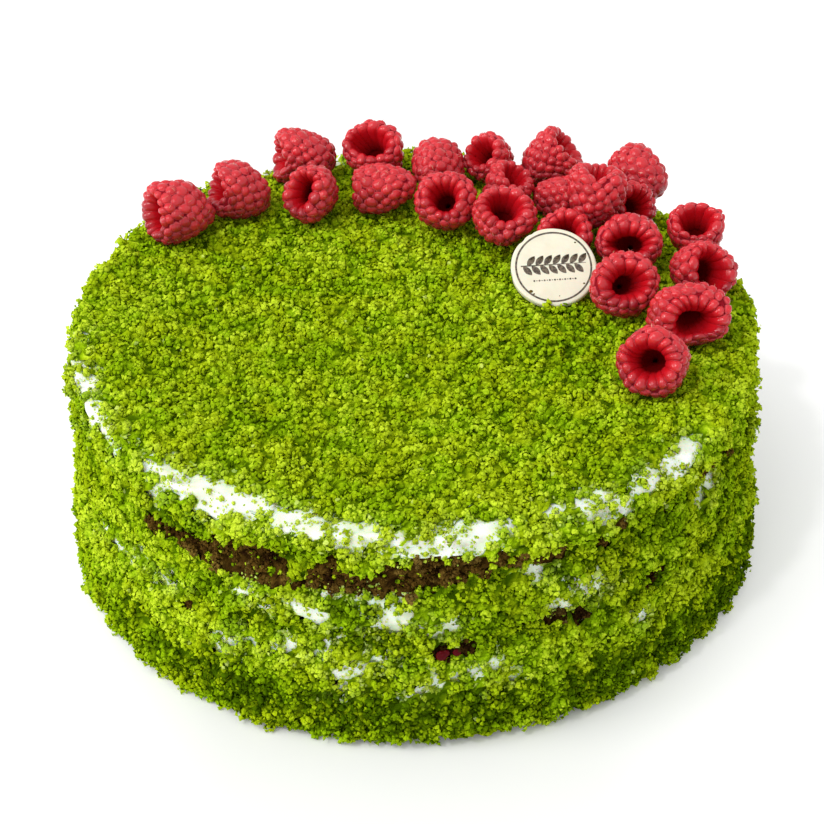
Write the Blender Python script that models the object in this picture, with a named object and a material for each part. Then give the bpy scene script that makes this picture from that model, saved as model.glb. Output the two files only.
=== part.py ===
"""A round spinach layer cake, 200 mm across: three sponges and three creams in a coat of green cake crumbs,
with a crescent of raspberries and a white chocolate disc on top.

Lengths are in millimetres and angles in degrees until a mesh is made. +Z is up, the origin is the centre of
the cake's flat base, and azimuth -90 is the front.
"""

import math
import random

import bmesh
import bpy
from mathutils import Matrix, Vector
from mathutils.geometry import delaunay_2d_cdt

MM = 0.001
GAP = 0.3
SEED = 7

# The cake's body.
CAKE_HEIGHT = 75.5
CAKE_SIDES = 36
SPONGE_RADIUS = 94.6
CREAM_RADIUS = 96.4
LAYERS = (
    ("base_sponge", 0.0, 20.0, "sponge"),
    ("lower_cream", 20.0, 33.0, "cream"),
    ("middle_sponge", 33.0, 42.0, "sponge"),
    ("middle_cream", 42.0, 53.5, "cream"),
    ("top_sponge", 53.5, 67.0, "sponge"),
    ("top_cream", 67.0, 73.0, "cream"),
)

# The coat's side as (height, radius), from the base to the rounded top edge.
SIDE_PROFILE = (
    (0.6, 98.8),
    (5.0, 100.2),
    (12.0, 100.4),
    (20.0, 100.2),
    (27.0, 99.8),
    (33.0, 98.8),
    (38.5, 98.2),
    (45.0, 99.4),
    (51.5, 99.0),
    (57.0, 97.6),
    (62.0, 97.6),
    (67.0, 99.4),
    (71.5, 99.8),
    (74.2, 97.4),
)
# The outline isn't quite round: (waves per turn, cosine part, sine part) at the base and at the top.
BASE_WAVES = ((2, 1.2, 0.0), (3, 1.0, -1.0), (4, 0.7, 0.1))
TOP_WAVES = ((2, 0.4, -1.1), (3, 0.4, 1.0), (4, 0.1, 1.2))

# The crumb coat's relief.
CRUMB_PITCH = 6.2
CRUMB_RELIEF = 1.1
TOP_EDGE_RADIUS = 93.0
BERRY_SEAT_RADIUS = 10.0
BERRY_SEAT_DEPTH = 1.0

# Bare patches where the coat is missing: azimuth, height, half width in degrees, half height, rise per degree.
BARE_CREAM = (
    (-122.0, 71.6, 13.0, 2.6, 0.20),
    (-88.0, 72.2, 10.0, 2.2, 0.00),
    (-58.5, 72.0, 3.5, 2.0, 0.00),
    (-44.0, 73.2, 5.0, 2.0, 0.25),
    (-106.0, 45.5, 2.6, 2.6, 0.00),
    (-94.0, 47.5, 3.6, 4.4, 0.00),
    (-60.5, 46.5, 4.0, 2.4, 0.00),
    (-154.0, 35.0, 3.0, 1.8, 0.10),
    (-100.0, 27.0, 2.2, 3.4, 0.30),
    (-80.5, 28.0, 2.0, 2.6, 0.00),
    (20.0, 72.0, 9.0, 1.8, 0.10),
    (112.0, 72.0, 8.0, 1.8, -0.10),
    (140.0, 47.0, 3.6, 2.5, 0.00),
    (60.0, 28.0, 3.6, 2.5, 0.20),
)
BARE_SPONGE = (
    (-119.5, 59.0, 10.5, 4.4, 0.16),
    (-94.5, 61.3, 12.5, 4.2, 0.14),
    (-68.5, 63.5, 3.8, 2.4, 0.00),
    (-34.0, 63.4, 4.6, 2.4, 0.00),
    (-67.0, 40.0, 3.0, 2.0, 0.00),
    (-48.0, 40.0, 2.4, 2.2, 0.00),
    (75.0, 61.0, 10.0, 3.2, -0.10),
    (155.0, 61.0, 6.0, 2.6, 0.10),
)
BERRY_WINDOW = (-84.2, 34.6, 3.4, 2.8, 0.00)
WINDOW_DEPTH = 12.0

# Each raspberry: x, y, lift above the crumbs, width, height across its mouth, length, and the azimuth and
# elevation that its mouth faces.
RASPBERRIES = (
    (-70.5, 46.2, 0.0, 20.6, 19.6, 21.0, -165, 12),
    (-52.6, 58.5, 0.0, 18.6, 17.8, 19.5, -172, 26),
    (-33.4, 80.2, 0.0, 19.0, 18.6, 19.5, -160, 12),
    (-30.0, 56.4, 0.0, 16.4, 18.2, 18.5, -118, 32),
    (-11.4, 80.6, 0.0, 20.2, 17.8, 18.0, -112, 56),
    (-8.0, 59.5, 0.0, 17.0, 16.4, 19.4, 170, -14),
    (7.0, 71.0, 0.0, 17.4, 17.0, 19.0, 77, -16),
    (11.0, 50.6, 0.0, 19.2, 18.6, 18.5, -98, 46),
    (25.2, 77.5, 0.0, 16.0, 16.0, 16.5, -140, 50),
    (28.5, 60.5, 0.0, 16.0, 15.6, 16.5, -33, 50),
    (27.8, 41.6, 0.0, 19.6, 19.0, 17.5, -88, 56),
    (42.4, 76.2, 0.0, 19.0, 18.4, 19.0, -17, 62),
    (45.3, 56.0, 0.0, 15.6, 15.4, 17.0, -22, 8),
    (54.8, 42.4, 6.4, 18.8, 17.8, 20.0, 20, 82),
    (46.0, 33.0, 0.0, 17.2, 16.6, 16.0, -99, 50),
    (68.6, 67.0, 0.0, 17.0, 16.6, 19.6, 36, -30),
    (66.2, 50.4, 0.0, 15.6, 15.6, 16.5, -68, 35),
    (65.0, 28.4, 0.0, 19.8, 18.4, 17.5, -97, 38),
    (84.6, 34.0, 0.0, 17.8, 16.6, 17.0, -90, 64),
    (60.8, 6.0, 0.0, 20.6, 20.0, 18.0, -83, 40),
    (84.2, 14.4, 0.0, 20.0, 18.4, 18.5, -70, 30),
    (77.8, -8.6, 0.6, 24.4, 18.4, 17.5, -84, 22),
    (67.2, -31.2, 0.0, 21.4, 20.0, 18.5, -104, 33),
)
# A raspberry's section, from tip to mouth and back down its hollow: share of the length, share of the radius.
BERRY_SECTION = (
    (-0.47, 0.30),
    (-0.38, 0.54),
    (-0.24, 0.73),
    (-0.07, 0.88),
    (0.11, 0.97),
    (0.28, 1.00),
    (0.42, 0.86),
    (0.47, 0.62),
    (0.36, 0.42),
    (0.05, 0.30),
)
BERRY_OUTER_RINGS = 8
BERRY_COLUMNS = 12
DRUPELET_RELIEF = 0.11

# The white chocolate disc leans on the raspberries behind it.
DISC_CENTRE = (41.5, 16.0)
DISC_RADIUS = 12.6
DISC_THICKNESS = 2.2
DISC_EDGE = 0.5
DISC_LEAN = 32.0
DISC_SIDES = 32

# The piece of filling raspberry that peeps out between the sponges.
FILLING_DRUPELETS = ((-85.0, 34.3, 2.2), (-83.4, 35.0, 1.8))
FILLING_RADIUS = 98.6

# Finishes: base colour, roughness.
FINISHES = {
    "sponge": ((0.10, 0.055, 0.015), 0.9),
    "cream": ((0.86, 0.88, 0.80), 0.45),
    "crumbs": ((0.27, 0.42, 0.010), 0.85),
    "raspberry": ((0.55, 0.015, 0.03), 0.4),
    "chocolate": ((0.86, 0.80, 0.62), 0.4),
}


def clear_scene():
    """Remove every object of the scene."""
    for obj in list(bpy.data.objects):
        bpy.data.objects.remove(obj)


def finish(name):
    """The finish's material, made on first use."""
    material = bpy.data.materials.get(name)
    if material is None:
        colour, roughness = FINISHES[name]
        material = bpy.data.materials.new(name)
        material.use_nodes = True
        shader = material.node_tree.nodes["Principled BSDF"]
        shader.inputs["Base Color"].default_value = (*colour, 1.0)
        shader.inputs["Roughness"].default_value = roughness
        shader.inputs["Metallic"].default_value = 0.0
    return material


def make_object(name, points, faces, material):
    """A named mesh object from points in millimetres and faces as lists of point numbers."""
    mesh = bpy.data.meshes.new(name)
    mesh.from_pydata([Vector(p) * MM for p in points], [], faces)
    mesh.update()
    mesh.materials.append(finish(material))
    obj = bpy.data.objects.new(name, mesh)
    bpy.context.scene.collection.objects.link(obj)
    return obj


def make_helper(name, points, faces):
    """A cutter: an object that is in no render and in no build."""
    obj = make_object(name, points, faces, "crumbs")
    obj.hide_render = True
    obj.display_type = "WIRE"
    return obj


def polar(radius, azimuth, height):
    """The point at this radius, azimuth in degrees and height."""
    angle = math.radians(azimuth)
    return (radius * math.cos(angle), radius * math.sin(angle), height)


def outline_offset(azimuth, height):
    """How far the uneven outline lies outside a true circle."""
    angle = math.radians(azimuth)

    def total(waves):
        return sum(c * math.cos(n * angle) + s * math.sin(n * angle) for n, c, s in waves)

    share = height / CAKE_HEIGHT
    return (1.0 - share) * total(BASE_WAVES) + share * total(TOP_WAVES)


def ring(radius, height, sides):
    """A ring of points round the cake's axis, on its uneven outline."""
    turns = [360.0 * i / sides for i in range(sides)]
    return [polar(radius + outline_offset(turn, height), turn, height) for turn in turns]


def bridge(first, second, count):
    """The quads between two rings of count points, which start at these point numbers."""
    quads = []
    for i in range(count):
        j = (i + 1) % count
        quads.append((first + i, first + j, second + j, second + i))
    return quads


def stack(rings):
    """Points and faces of a closed body through these rings, from its lowest to its highest."""
    count = len(rings[0])
    points = [point for ring_points in rings for point in ring_points]
    faces = [tuple(reversed(range(count)))]
    for level in range(len(rings) - 1):
        faces += bridge(level * count, (level + 1) * count, count)
    faces.append(tuple(range(len(points) - count, len(points))))
    return points, faces


# The layers.


def layer_radius(kind):
    """Cream bulges out between the sponges."""
    return SPONGE_RADIUS if kind == "sponge" else CREAM_RADIUS


def make_layer(name, low, high, kind):
    """One sponge or cream layer, as a disc through the whole cake."""
    bottom = low if low == 0.0 else low + GAP / 2
    top = high - GAP / 2
    radius = layer_radius(kind)
    points, faces = stack([ring(radius, bottom, CAKE_SIDES), ring(radius, top, CAKE_SIDES)])
    make_object(name, points, faces, kind)


def make_core():
    """The layers' common shape, one gap larger, which the crumb coat is hollowed by."""
    rings = []
    for _, low, high, kind in LAYERS:
        step = GAP if kind == "cream" else -GAP
        bottom = -5.0 if low == 0.0 else low - step / 2
        top = high + (GAP if high == LAYERS[-1][2] else step / 2)
        radius = layer_radius(kind) + GAP
        rings += [ring(radius, bottom, CAKE_SIDES), ring(radius, top, CAKE_SIDES)]
    return make_helper("core", *stack(rings))


# The crumb coat.


def side_radius(height):
    """The coat's mean radius at this height, read from the side profile."""
    for (low, first), (high, second) in zip(SIDE_PROFILE, SIDE_PROFILE[1:]):
        if height <= high:
            share = max(0.0, (height - low) / (high - low))
            return first + share * (second - first)
    return SIDE_PROFILE[-1][1]


def under_berry(x, y):
    """Whether this place on the top carries a raspberry or the disc."""
    seats = [(berry[0], berry[1]) for berry in RASPBERRIES if berry[2] < BERRY_SEAT_DEPTH]
    near_berry = any(math.hypot(x - a, y - b) < BERRY_SEAT_RADIUS for a, b in seats)
    near_disc = abs(x - DISC_CENTRE[0]) < 8.0 and abs(y - (DISC_CENTRE[1] - 9.0)) < 6.0
    return near_berry or near_disc


def top_points(draw):
    """Crumb tips over the cake's top, on a jittered triangular grid."""
    points = []
    row_step = CRUMB_PITCH * math.sqrt(3) / 2
    rows = int(TOP_EDGE_RADIUS / row_step)
    reach = int(TOP_EDGE_RADIUS / CRUMB_PITCH) + 1
    for row in range(-rows, rows + 1):
        for column in range(-reach, reach + 1):
            x = (column + 0.5 * (row % 2)) * CRUMB_PITCH + draw.uniform(-1.2, 1.2)
            y = row * row_step + draw.uniform(-1.2, 1.2)
            if math.hypot(x, y) > TOP_EDGE_RADIUS - 0.6 * CRUMB_PITCH:
                continue
            height = CAKE_HEIGHT + draw.uniform(-CRUMB_RELIEF, CRUMB_RELIEF)
            if under_berry(x, y):
                height = CAKE_HEIGHT - BERRY_SEAT_DEPTH
            points.append((x, y, height))
    return points


def make_coat_blank(draw):
    """The coat's outside as a solid: lumpy rings up the side, and a lumpy top inside the last ring."""
    columns = round(2 * math.pi * CREAM_RADIUS / CRUMB_PITCH)
    points, faces = [], []
    for level, (height, _) in enumerate(SIDE_PROFILE):
        lowest = level == 0
        for column in range(columns):
            azimuth = 360.0 * (column + 0.5 * (level % 2)) / columns
            lift = 0.0 if lowest else draw.uniform(-1.0, 1.0)
            radius = side_radius(height) + draw.uniform(-CRUMB_RELIEF, CRUMB_RELIEF)
            radius += outline_offset(azimuth, height)
            points.append(polar(radius, azimuth, height + lift))
    for level in range(len(SIDE_PROFILE) - 1):
        low, high = level * columns, (level + 1) * columns
        for i in range(columns):
            j = (i + 1) % columns
            if level % 2:
                faces += [(low + i, low + j, high + j), (low + i, high + j, high + i)]
            else:
                faces += [(low + i, low + j, high + i), (low + j, high + j, high + i)]
    rim = (len(SIDE_PROFILE) - 1) * columns
    faces += cap_top(points, rim, columns, top_points(draw))
    faces.append(tuple(reversed(range(columns))))
    return points, faces


def cap_top(points, rim, columns, tips):
    """Triangles over the rim ring and the tips inside it. The tips are added to the points."""
    numbers = list(range(rim, rim + columns)) + list(range(len(points), len(points) + len(tips)))
    points += tips
    flat = [Vector(points[n][:2]) for n in numbers]
    edges = [(i, (i + 1) % columns) for i in range(columns)]
    inside_edges_only = 1
    _, _, triangles, originals, _, _ = delaunay_2d_cdt(flat, edges, [], inside_edges_only, 1e-6)
    return [tuple(numbers[originals[corner][0]] for corner in triangle) for triangle in triangles]


def make_window(patch, draw):
    """Points and faces of a prism that runs outwards through one bare patch, with a ragged outline."""
    azimuth, height, half_width, half_height, rise = patch
    corners = max(7, min(12, round(half_width)))
    inner, outer = CREAM_RADIUS - WINDOW_DEPTH, CREAM_RADIUS + WINDOW_DEPTH
    rings = [[], []]
    for i in range(corners):
        turn = 2 * math.pi * i / corners
        size = draw.uniform(0.8, 1.15)
        along = size * half_width * math.cos(turn)
        up = height + size * half_height * math.sin(turn) + rise * along
        rings[0].append(polar(inner, azimuth + along, up))
        rings[1].append(polar(outer, azimuth + along, up))
    return stack(rings)


def make_windows(draw):
    """All the bare patches as one cutter."""
    points, faces = [], []
    for patch in (*BARE_CREAM, *BARE_SPONGE, BERRY_WINDOW):
        more_points, more_faces = make_window(patch, draw)
        faces += [tuple(n + len(points) for n in face) for face in more_faces]
        points += more_points
    return make_helper("windows", points, faces)


def subtract(obj, cutter):
    """Cut this helper from the object, and remove the helper."""
    modifier = obj.modifiers.new("cut", "BOOLEAN")
    modifier.operation = "DIFFERENCE"
    modifier.solver = "EXACT"
    modifier.object = cutter
    with bpy.context.temp_override(object=obj, active_object=obj):
        bpy.ops.object.modifier_apply(modifier=modifier.name)
    bpy.data.objects.remove(cutter)


def make_crumb_coat(draw):
    """The crust of crumbs over the side and the top, open at the bare patches."""
    coat = make_object("crumb_coat", *make_coat_blank(draw), "crumbs")
    orient(coat)
    for cutter in (make_core(), make_windows(draw)):
        orient(cutter)
        subtract(coat, cutter)


def orient(obj):
    """Turn the mesh's faces outwards."""
    bm = bmesh.new()
    bm.from_mesh(obj.data)
    bmesh.ops.recalc_face_normals(bm, faces=bm.faces)
    bm.to_mesh(obj.data)
    bm.free()


# The raspberries.


def berry_mesh(width, height, length, draw):
    """Points and faces of one raspberry, mouth towards +Z, with a staggered relief of drupelets."""
    points, faces = [(0.0, 0.0, -0.5 * length)], []
    for level, (along, radius) in enumerate(BERRY_SECTION):
        outside = level < BERRY_OUTER_RINGS
        for column in range(BERRY_COLUMNS):
            peak = (column + level) % 2 == 0
            swell = 1.0 if peak else 1.0 - DRUPELET_RELIEF * outside
            angle = 2 * math.pi * column / BERRY_COLUMNS
            reach = 0.5 * radius * swell * draw.uniform(0.97, 1.03)
            place = along * length * (swell if radius < 0.9 else 1.0)
            points.append((height * reach * math.cos(angle), width * reach * math.sin(angle), place))
    for level in range(len(BERRY_SECTION) - 1):
        low, high = 1 + level * BERRY_COLUMNS, 1 + (level + 1) * BERRY_COLUMNS
        for i in range(BERRY_COLUMNS):
            j = (i + 1) % BERRY_COLUMNS
            if (i + level) % 2 == 0:
                faces += [(low + i, low + j, high + i), (low + j, high + j, high + i)]
            else:
                faces += [(low + i, low + j, high + j), (low + i, high + j, high + i)]
    last = 1 + (len(BERRY_SECTION) - 1) * BERRY_COLUMNS
    points.append((0.0, 0.0, BERRY_SECTION[-1][0] * length - 1.0))
    for i in range(BERRY_COLUMNS):
        j = (i + 1) % BERRY_COLUMNS
        faces.append((0, 1 + j, 1 + i))
        faces.append((last + i, last + j, len(points) - 1))
    return points, faces


def facing(azimuth, elevation):
    """The turn that points +Z at this azimuth and elevation, and leaves +Y level."""
    return Matrix.Rotation(math.radians(azimuth), 4, "Z") @ Matrix.Rotation(math.radians(90.0 - elevation), 4, "Y")


def make_raspberry(number, berry, draw):
    """One raspberry, which rests on the crumbs, or is lifted by those that it lies on."""
    x, y, lift, width, height, length, azimuth, elevation = berry
    points, faces = berry_mesh(width, height, length, draw)
    obj = make_object(f"raspberry_{number:02d}", points, faces, "raspberry")
    turn = facing(azimuth, elevation)
    lowest = min((turn @ Vector(p)).z for p in points)
    rest = CAKE_HEIGHT - BERRY_SEAT_DEPTH + GAP + lift
    obj.matrix_world = Matrix.Translation(Vector((x, y, rest - lowest)) * MM) @ turn


def make_filling_raspberry():
    """Two drupelets of a raspberry in the filling, showing in the crumbs at the front."""
    parts = []
    for azimuth, height, radius in FILLING_DRUPELETS:
        bm = bmesh.new()
        bmesh.ops.create_icosphere(bm, subdivisions=1, radius=radius * MM)
        bmesh.ops.scale(bm, vec=(0.55, 1.0, 1.0), verts=bm.verts)
        mesh = bpy.data.meshes.new("filling_raspberry")
        bm.to_mesh(mesh)
        bm.free()
        mesh.materials.append(finish("raspberry"))
        obj = bpy.data.objects.new("filling_raspberry", mesh)
        bpy.context.scene.collection.objects.link(obj)
        place = Vector(polar(FILLING_RADIUS, azimuth, height)) * MM
        mesh.transform(Matrix.Translation(place) @ Matrix.Rotation(math.radians(azimuth), 4, "Z"))
        parts.append(obj)
    first, second = parts
    union = first.modifiers.new("join", "BOOLEAN")
    union.operation = "UNION"
    union.solver = "EXACT"
    union.object = second
    with bpy.context.temp_override(object=first, active_object=first):
        bpy.ops.object.modifier_apply(modifier=union.name)
    bpy.data.objects.remove(second)
    first.name = "filling_raspberry"


# The disc.


def make_disc():
    """The white chocolate disc, with a softened edge, leaning back with its foot in the crumbs."""
    half = DISC_THICKNESS / 2
    levels = ((-half, -DISC_EDGE), (-half + DISC_EDGE, 0.0), (half - DISC_EDGE, 0.0), (half, -DISC_EDGE))
    rings = []
    for height, inset in levels:
        turns = [360.0 * i / DISC_SIDES for i in range(DISC_SIDES)]
        rings.append([polar(DISC_RADIUS + inset, turn, height) for turn in turns])
    disc = make_object("chocolate_disc", *stack(rings), "chocolate")
    lean = Matrix.Rotation(math.radians(DISC_LEAN), 4, "X")
    lowest = -DISC_RADIUS * math.sin(math.radians(DISC_LEAN)) - half
    rest = CAKE_HEIGHT - BERRY_SEAT_DEPTH + GAP - lowest
    disc.matrix_world = Matrix.Translation(Vector((*DISC_CENTRE, rest)) * MM) @ lean
    disc.data.set_sharp_from_angle(angle=math.radians(50.0))


def main():
    """Build the cake from its base upwards."""
    draw = random.Random(SEED)
    clear_scene()
    for name, low, high, kind in LAYERS:
        make_layer(name, low, high, kind)
    make_crumb_coat(draw)
    for number, berry in enumerate(RASPBERRIES, start=1):
        make_raspberry(number, berry, draw)
    make_filling_raspberry()
    make_disc()


main()
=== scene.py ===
"""The looks of the spinach layer cake: crumbs, cream and sponge edges, raspberries and the chocolate disc.

Meshes are worked out in millimetres and written in metres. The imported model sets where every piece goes.
Azimuth is measured round the cake's axis in degrees, and -90 is the front.
"""

from __future__ import annotations

import logging
import math
from dataclasses import dataclass, field
from enum import Enum
from functools import cached_property

import bpy
import numpy as np
from mathutils import Matrix, Vector
from mathutils.bvhtree import BVHTree

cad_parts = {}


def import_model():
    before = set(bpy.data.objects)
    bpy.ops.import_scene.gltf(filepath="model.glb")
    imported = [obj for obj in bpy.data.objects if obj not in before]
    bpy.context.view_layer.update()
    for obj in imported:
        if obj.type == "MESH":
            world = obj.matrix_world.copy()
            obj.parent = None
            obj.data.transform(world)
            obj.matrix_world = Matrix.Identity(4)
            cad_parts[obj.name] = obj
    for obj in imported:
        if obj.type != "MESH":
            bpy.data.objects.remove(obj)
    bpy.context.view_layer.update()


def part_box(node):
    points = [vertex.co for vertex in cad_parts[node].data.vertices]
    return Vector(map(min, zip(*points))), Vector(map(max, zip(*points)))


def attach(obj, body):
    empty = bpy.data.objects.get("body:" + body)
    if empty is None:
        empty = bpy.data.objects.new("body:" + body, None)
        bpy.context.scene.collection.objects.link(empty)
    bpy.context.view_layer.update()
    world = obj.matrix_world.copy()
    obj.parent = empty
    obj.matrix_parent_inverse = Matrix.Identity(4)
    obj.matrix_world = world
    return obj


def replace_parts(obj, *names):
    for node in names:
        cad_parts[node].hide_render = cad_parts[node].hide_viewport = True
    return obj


MM = 0.001
LOG = logging.getLogger("spinach_cake")
FULL_TURN = 2 * math.pi
Colour = tuple[float, float, float]
Table = tuple[tuple[float, ...], ...]
Array = np.ndarray
Random = np.random.Generator
Piece = bpy.types.Object
Material = bpy.types.Material
Tree = bpy.types.NodeTree
Node = bpy.types.Node
Socket = bpy.types.NodeSocket


class Slot(Enum):
    """The record's material slots."""

    SPONGE = "sponge"
    CREAM = "cream"
    CRUMBS = "crumbs"
    RASPBERRY = "raspberry"
    CHOCOLATE = "white_chocolate"


class LayerKind(Enum):
    """What a layer of the cake is made of."""

    SPONGE = "sponge"
    CREAM = "cream"


# Numbers and arrays.


def box_mm(node: str) -> tuple[Array, Array]:
    """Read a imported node's box.

    Args:
        node: The node's name.

    Returns:
        Its lowest and its highest corner in millimetres.
    """
    low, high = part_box(node)
    return np.array(low) / MM, np.array(high) / MM


def unit(vectors: Array) -> Array:
    """The vectors, each at length one."""
    return vectors / np.maximum(np.linalg.norm(vectors, axis=-1, keepdims=True), 1e-9)


def circle(count: int) -> Array:
    """Angles in radians that divide a full turn evenly."""
    return np.arange(count) * 2 * math.pi / count


def golden_turns(count: int) -> Array:
    """Angles in radians that each add a golden angle, so that points spread evenly."""
    return np.arange(count) * math.pi * (3.0 - math.sqrt(5.0))


def polar(radius: Array | float, turn: Array, height: Array | float) -> Array:
    """Places as x, y and z, for radii, angles in radians and heights that broadcast together."""
    return np.stack(np.broadcast_arrays(radius * np.cos(turn), radius * np.sin(turn), height), -1)


def turned(azimuth: float, elevation: float) -> Array:
    """Work out the turn that points +Z at this azimuth and elevation, and leaves +Y level.

    Args:
        azimuth: Degrees round the cake's axis.
        elevation: Degrees above the horizon.

    Returns:
        A rotation matrix, 3 by 3.
    """
    turn = Matrix.Rotation(math.radians(azimuth), 3, "Z")
    tip = Matrix.Rotation(math.radians(90.0 - elevation), 3, "Y")
    return np.array(turn @ tip)


def random_turns(draw: Random, count: int) -> Array:
    """Draw rotation matrices.

    Args:
        draw: The random source.
        count: How many.

    Returns:
        Matrices of shape (count, 3, 3).
    """
    w, x, y, z = unit(draw.normal(size=(count, 4))).T
    rows = (
        (1 - 2 * (y * y + z * z), 2 * (x * y - w * z), 2 * (x * z + w * y)),
        (2 * (x * y + w * z), 1 - 2 * (x * x + z * z), 2 * (y * z - w * x)),
        (2 * (x * z - w * y), 2 * (y * z + w * x), 1 - 2 * (x * x + y * y)),
    )
    return np.array(rows).transpose(2, 0, 1)


@dataclass(frozen=True)
class WaveField:
    """A smooth random field in space: plane waves of about one length, in random directions.

    Attributes:
        length: The waves' mean length in millimetres.
        seed: Which field of that length.
        waves: How many waves are summed.
    """

    length: float
    seed: int
    waves: int = 28

    def at(self, points: Array) -> Array:
        """Read the field.

        Args:
            points: Places in millimetres, shape (n, 3).

        Returns:
            Values that mostly lie between -1 and 1, shape (n,).
        """
        draw = np.random.default_rng(self.seed)
        directions = unit(draw.normal(size=(self.waves, 3)))
        lengths = self.length * draw.uniform(0.7, 1.5, self.waves)
        phases = draw.uniform(0.0, FULL_TURN, self.waves)
        total = np.zeros(len(points))
        for direction, length, phase in zip(directions, lengths, phases):
            total += np.sin(points @ direction * (FULL_TURN / length) + phase)
        return total / math.sqrt(self.waves)


# Meshes.


def grid_faces(rows: int, columns: int, closed: bool = True) -> Array:
    """Triangulate a grid of points whose rows follow each other.

    Args:
        rows: Number of rows.
        columns: Points in a row.
        closed: Whether a row's last point joins its first.

    Returns:
        Triangles as point numbers, shape (n, 3).
    """
    across = np.arange(columns if closed else columns - 1)
    row, column = np.meshgrid(np.arange(rows - 1), across, indexing="ij")
    a = (row * columns + column).ravel()
    b = (row * columns + (column + 1) % columns).ravel()
    c, d = a + columns, b + columns
    return np.concatenate([np.stack([a, b, d], 1), np.stack([a, d, c], 1)])


@dataclass
class MeshDraft:
    """Points and triangles of one piece, gathered part by part.

    Attributes:
        values: Names of the numbers that each point carries for its material.
        points: Places of each part's points in millimetres.
        faces: Triangles of each part, as numbers of the piece's points.
        slots: Which material each part's triangles have.
        numbers: The points' numbers by name, part by part.
        count: How many points there are so far.
    """

    values: tuple[str, ...] = ()
    points: list[Array] = field(default_factory=list)
    faces: list[Array] = field(default_factory=list)
    slots: list[Array] = field(default_factory=list)
    numbers: dict[str, list[Array]] = field(default_factory=dict)
    count: int = 0

    def add(self, points: Array, faces: Array, slot: int = 0, **values: Array | float) -> None:
        """Add one part.

        Args:
            points: Places in millimetres, shape (n, 3).
            faces: Triangles as numbers of those points.
            slot: Which of the piece's materials the part has.
            **values: The points' numbers, one array or one number for each name in self.values.
        """
        self.points.append(points)
        self.faces.append(faces + self.count)
        self.slots.append(np.full(len(faces), slot))
        for name in self.values:
            given = np.broadcast_to(np.asarray(values[name], float), (len(points),))
            self.numbers.setdefault(name, []).append(given)
        self.count += len(points)

    def build(self, name: str, materials: list[Material], slot: Slot, smooth: bool = True) -> Piece:
        """Make the object, and let it ride on the cake.

        Args:
            name: The object's name.
            materials: Its materials, in slot order.
            slot: The record's slot for its finish; it is not used.
            smooth: Whether its faces are shaded as one smooth surface.

        Returns:
            The new object.
        """
        points = np.concatenate(self.points) * MM
        faces = np.concatenate(self.faces)
        mesh = bpy.data.meshes.new(name)
        mesh.vertices.add(len(points))
        mesh.vertices.foreach_set("co", points.astype(np.float32).ravel())
        mesh.loops.add(faces.size)
        mesh.loops.foreach_set("vertex_index", faces.astype(np.int32).ravel())
        mesh.polygons.add(len(faces))
        mesh.polygons.foreach_set("loop_start", np.arange(0, faces.size, 3, dtype=np.int32))
        mesh.polygons.foreach_set("material_index", np.concatenate(self.slots).astype(np.int32))
        mesh.update(calc_edges=True)
        if smooth:
            mesh.shade_smooth()
        else:
            mesh.shade_flat()
        for value in self.values:
            made = mesh.attributes.new(value, "FLOAT", "POINT")
            made.data.foreach_set("value", np.concatenate(self.numbers[value]).astype(np.float32))
        for material in materials:
            mesh.materials.append(material)
        piece = bpy.data.objects.new(name, mesh)
        bpy.context.scene.collection.objects.link(piece)
        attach(piece, "root")
        LOG.info("%s: %d triangles", name, len(faces))
        return piece


# Shader node groups, shared by the materials.


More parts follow.
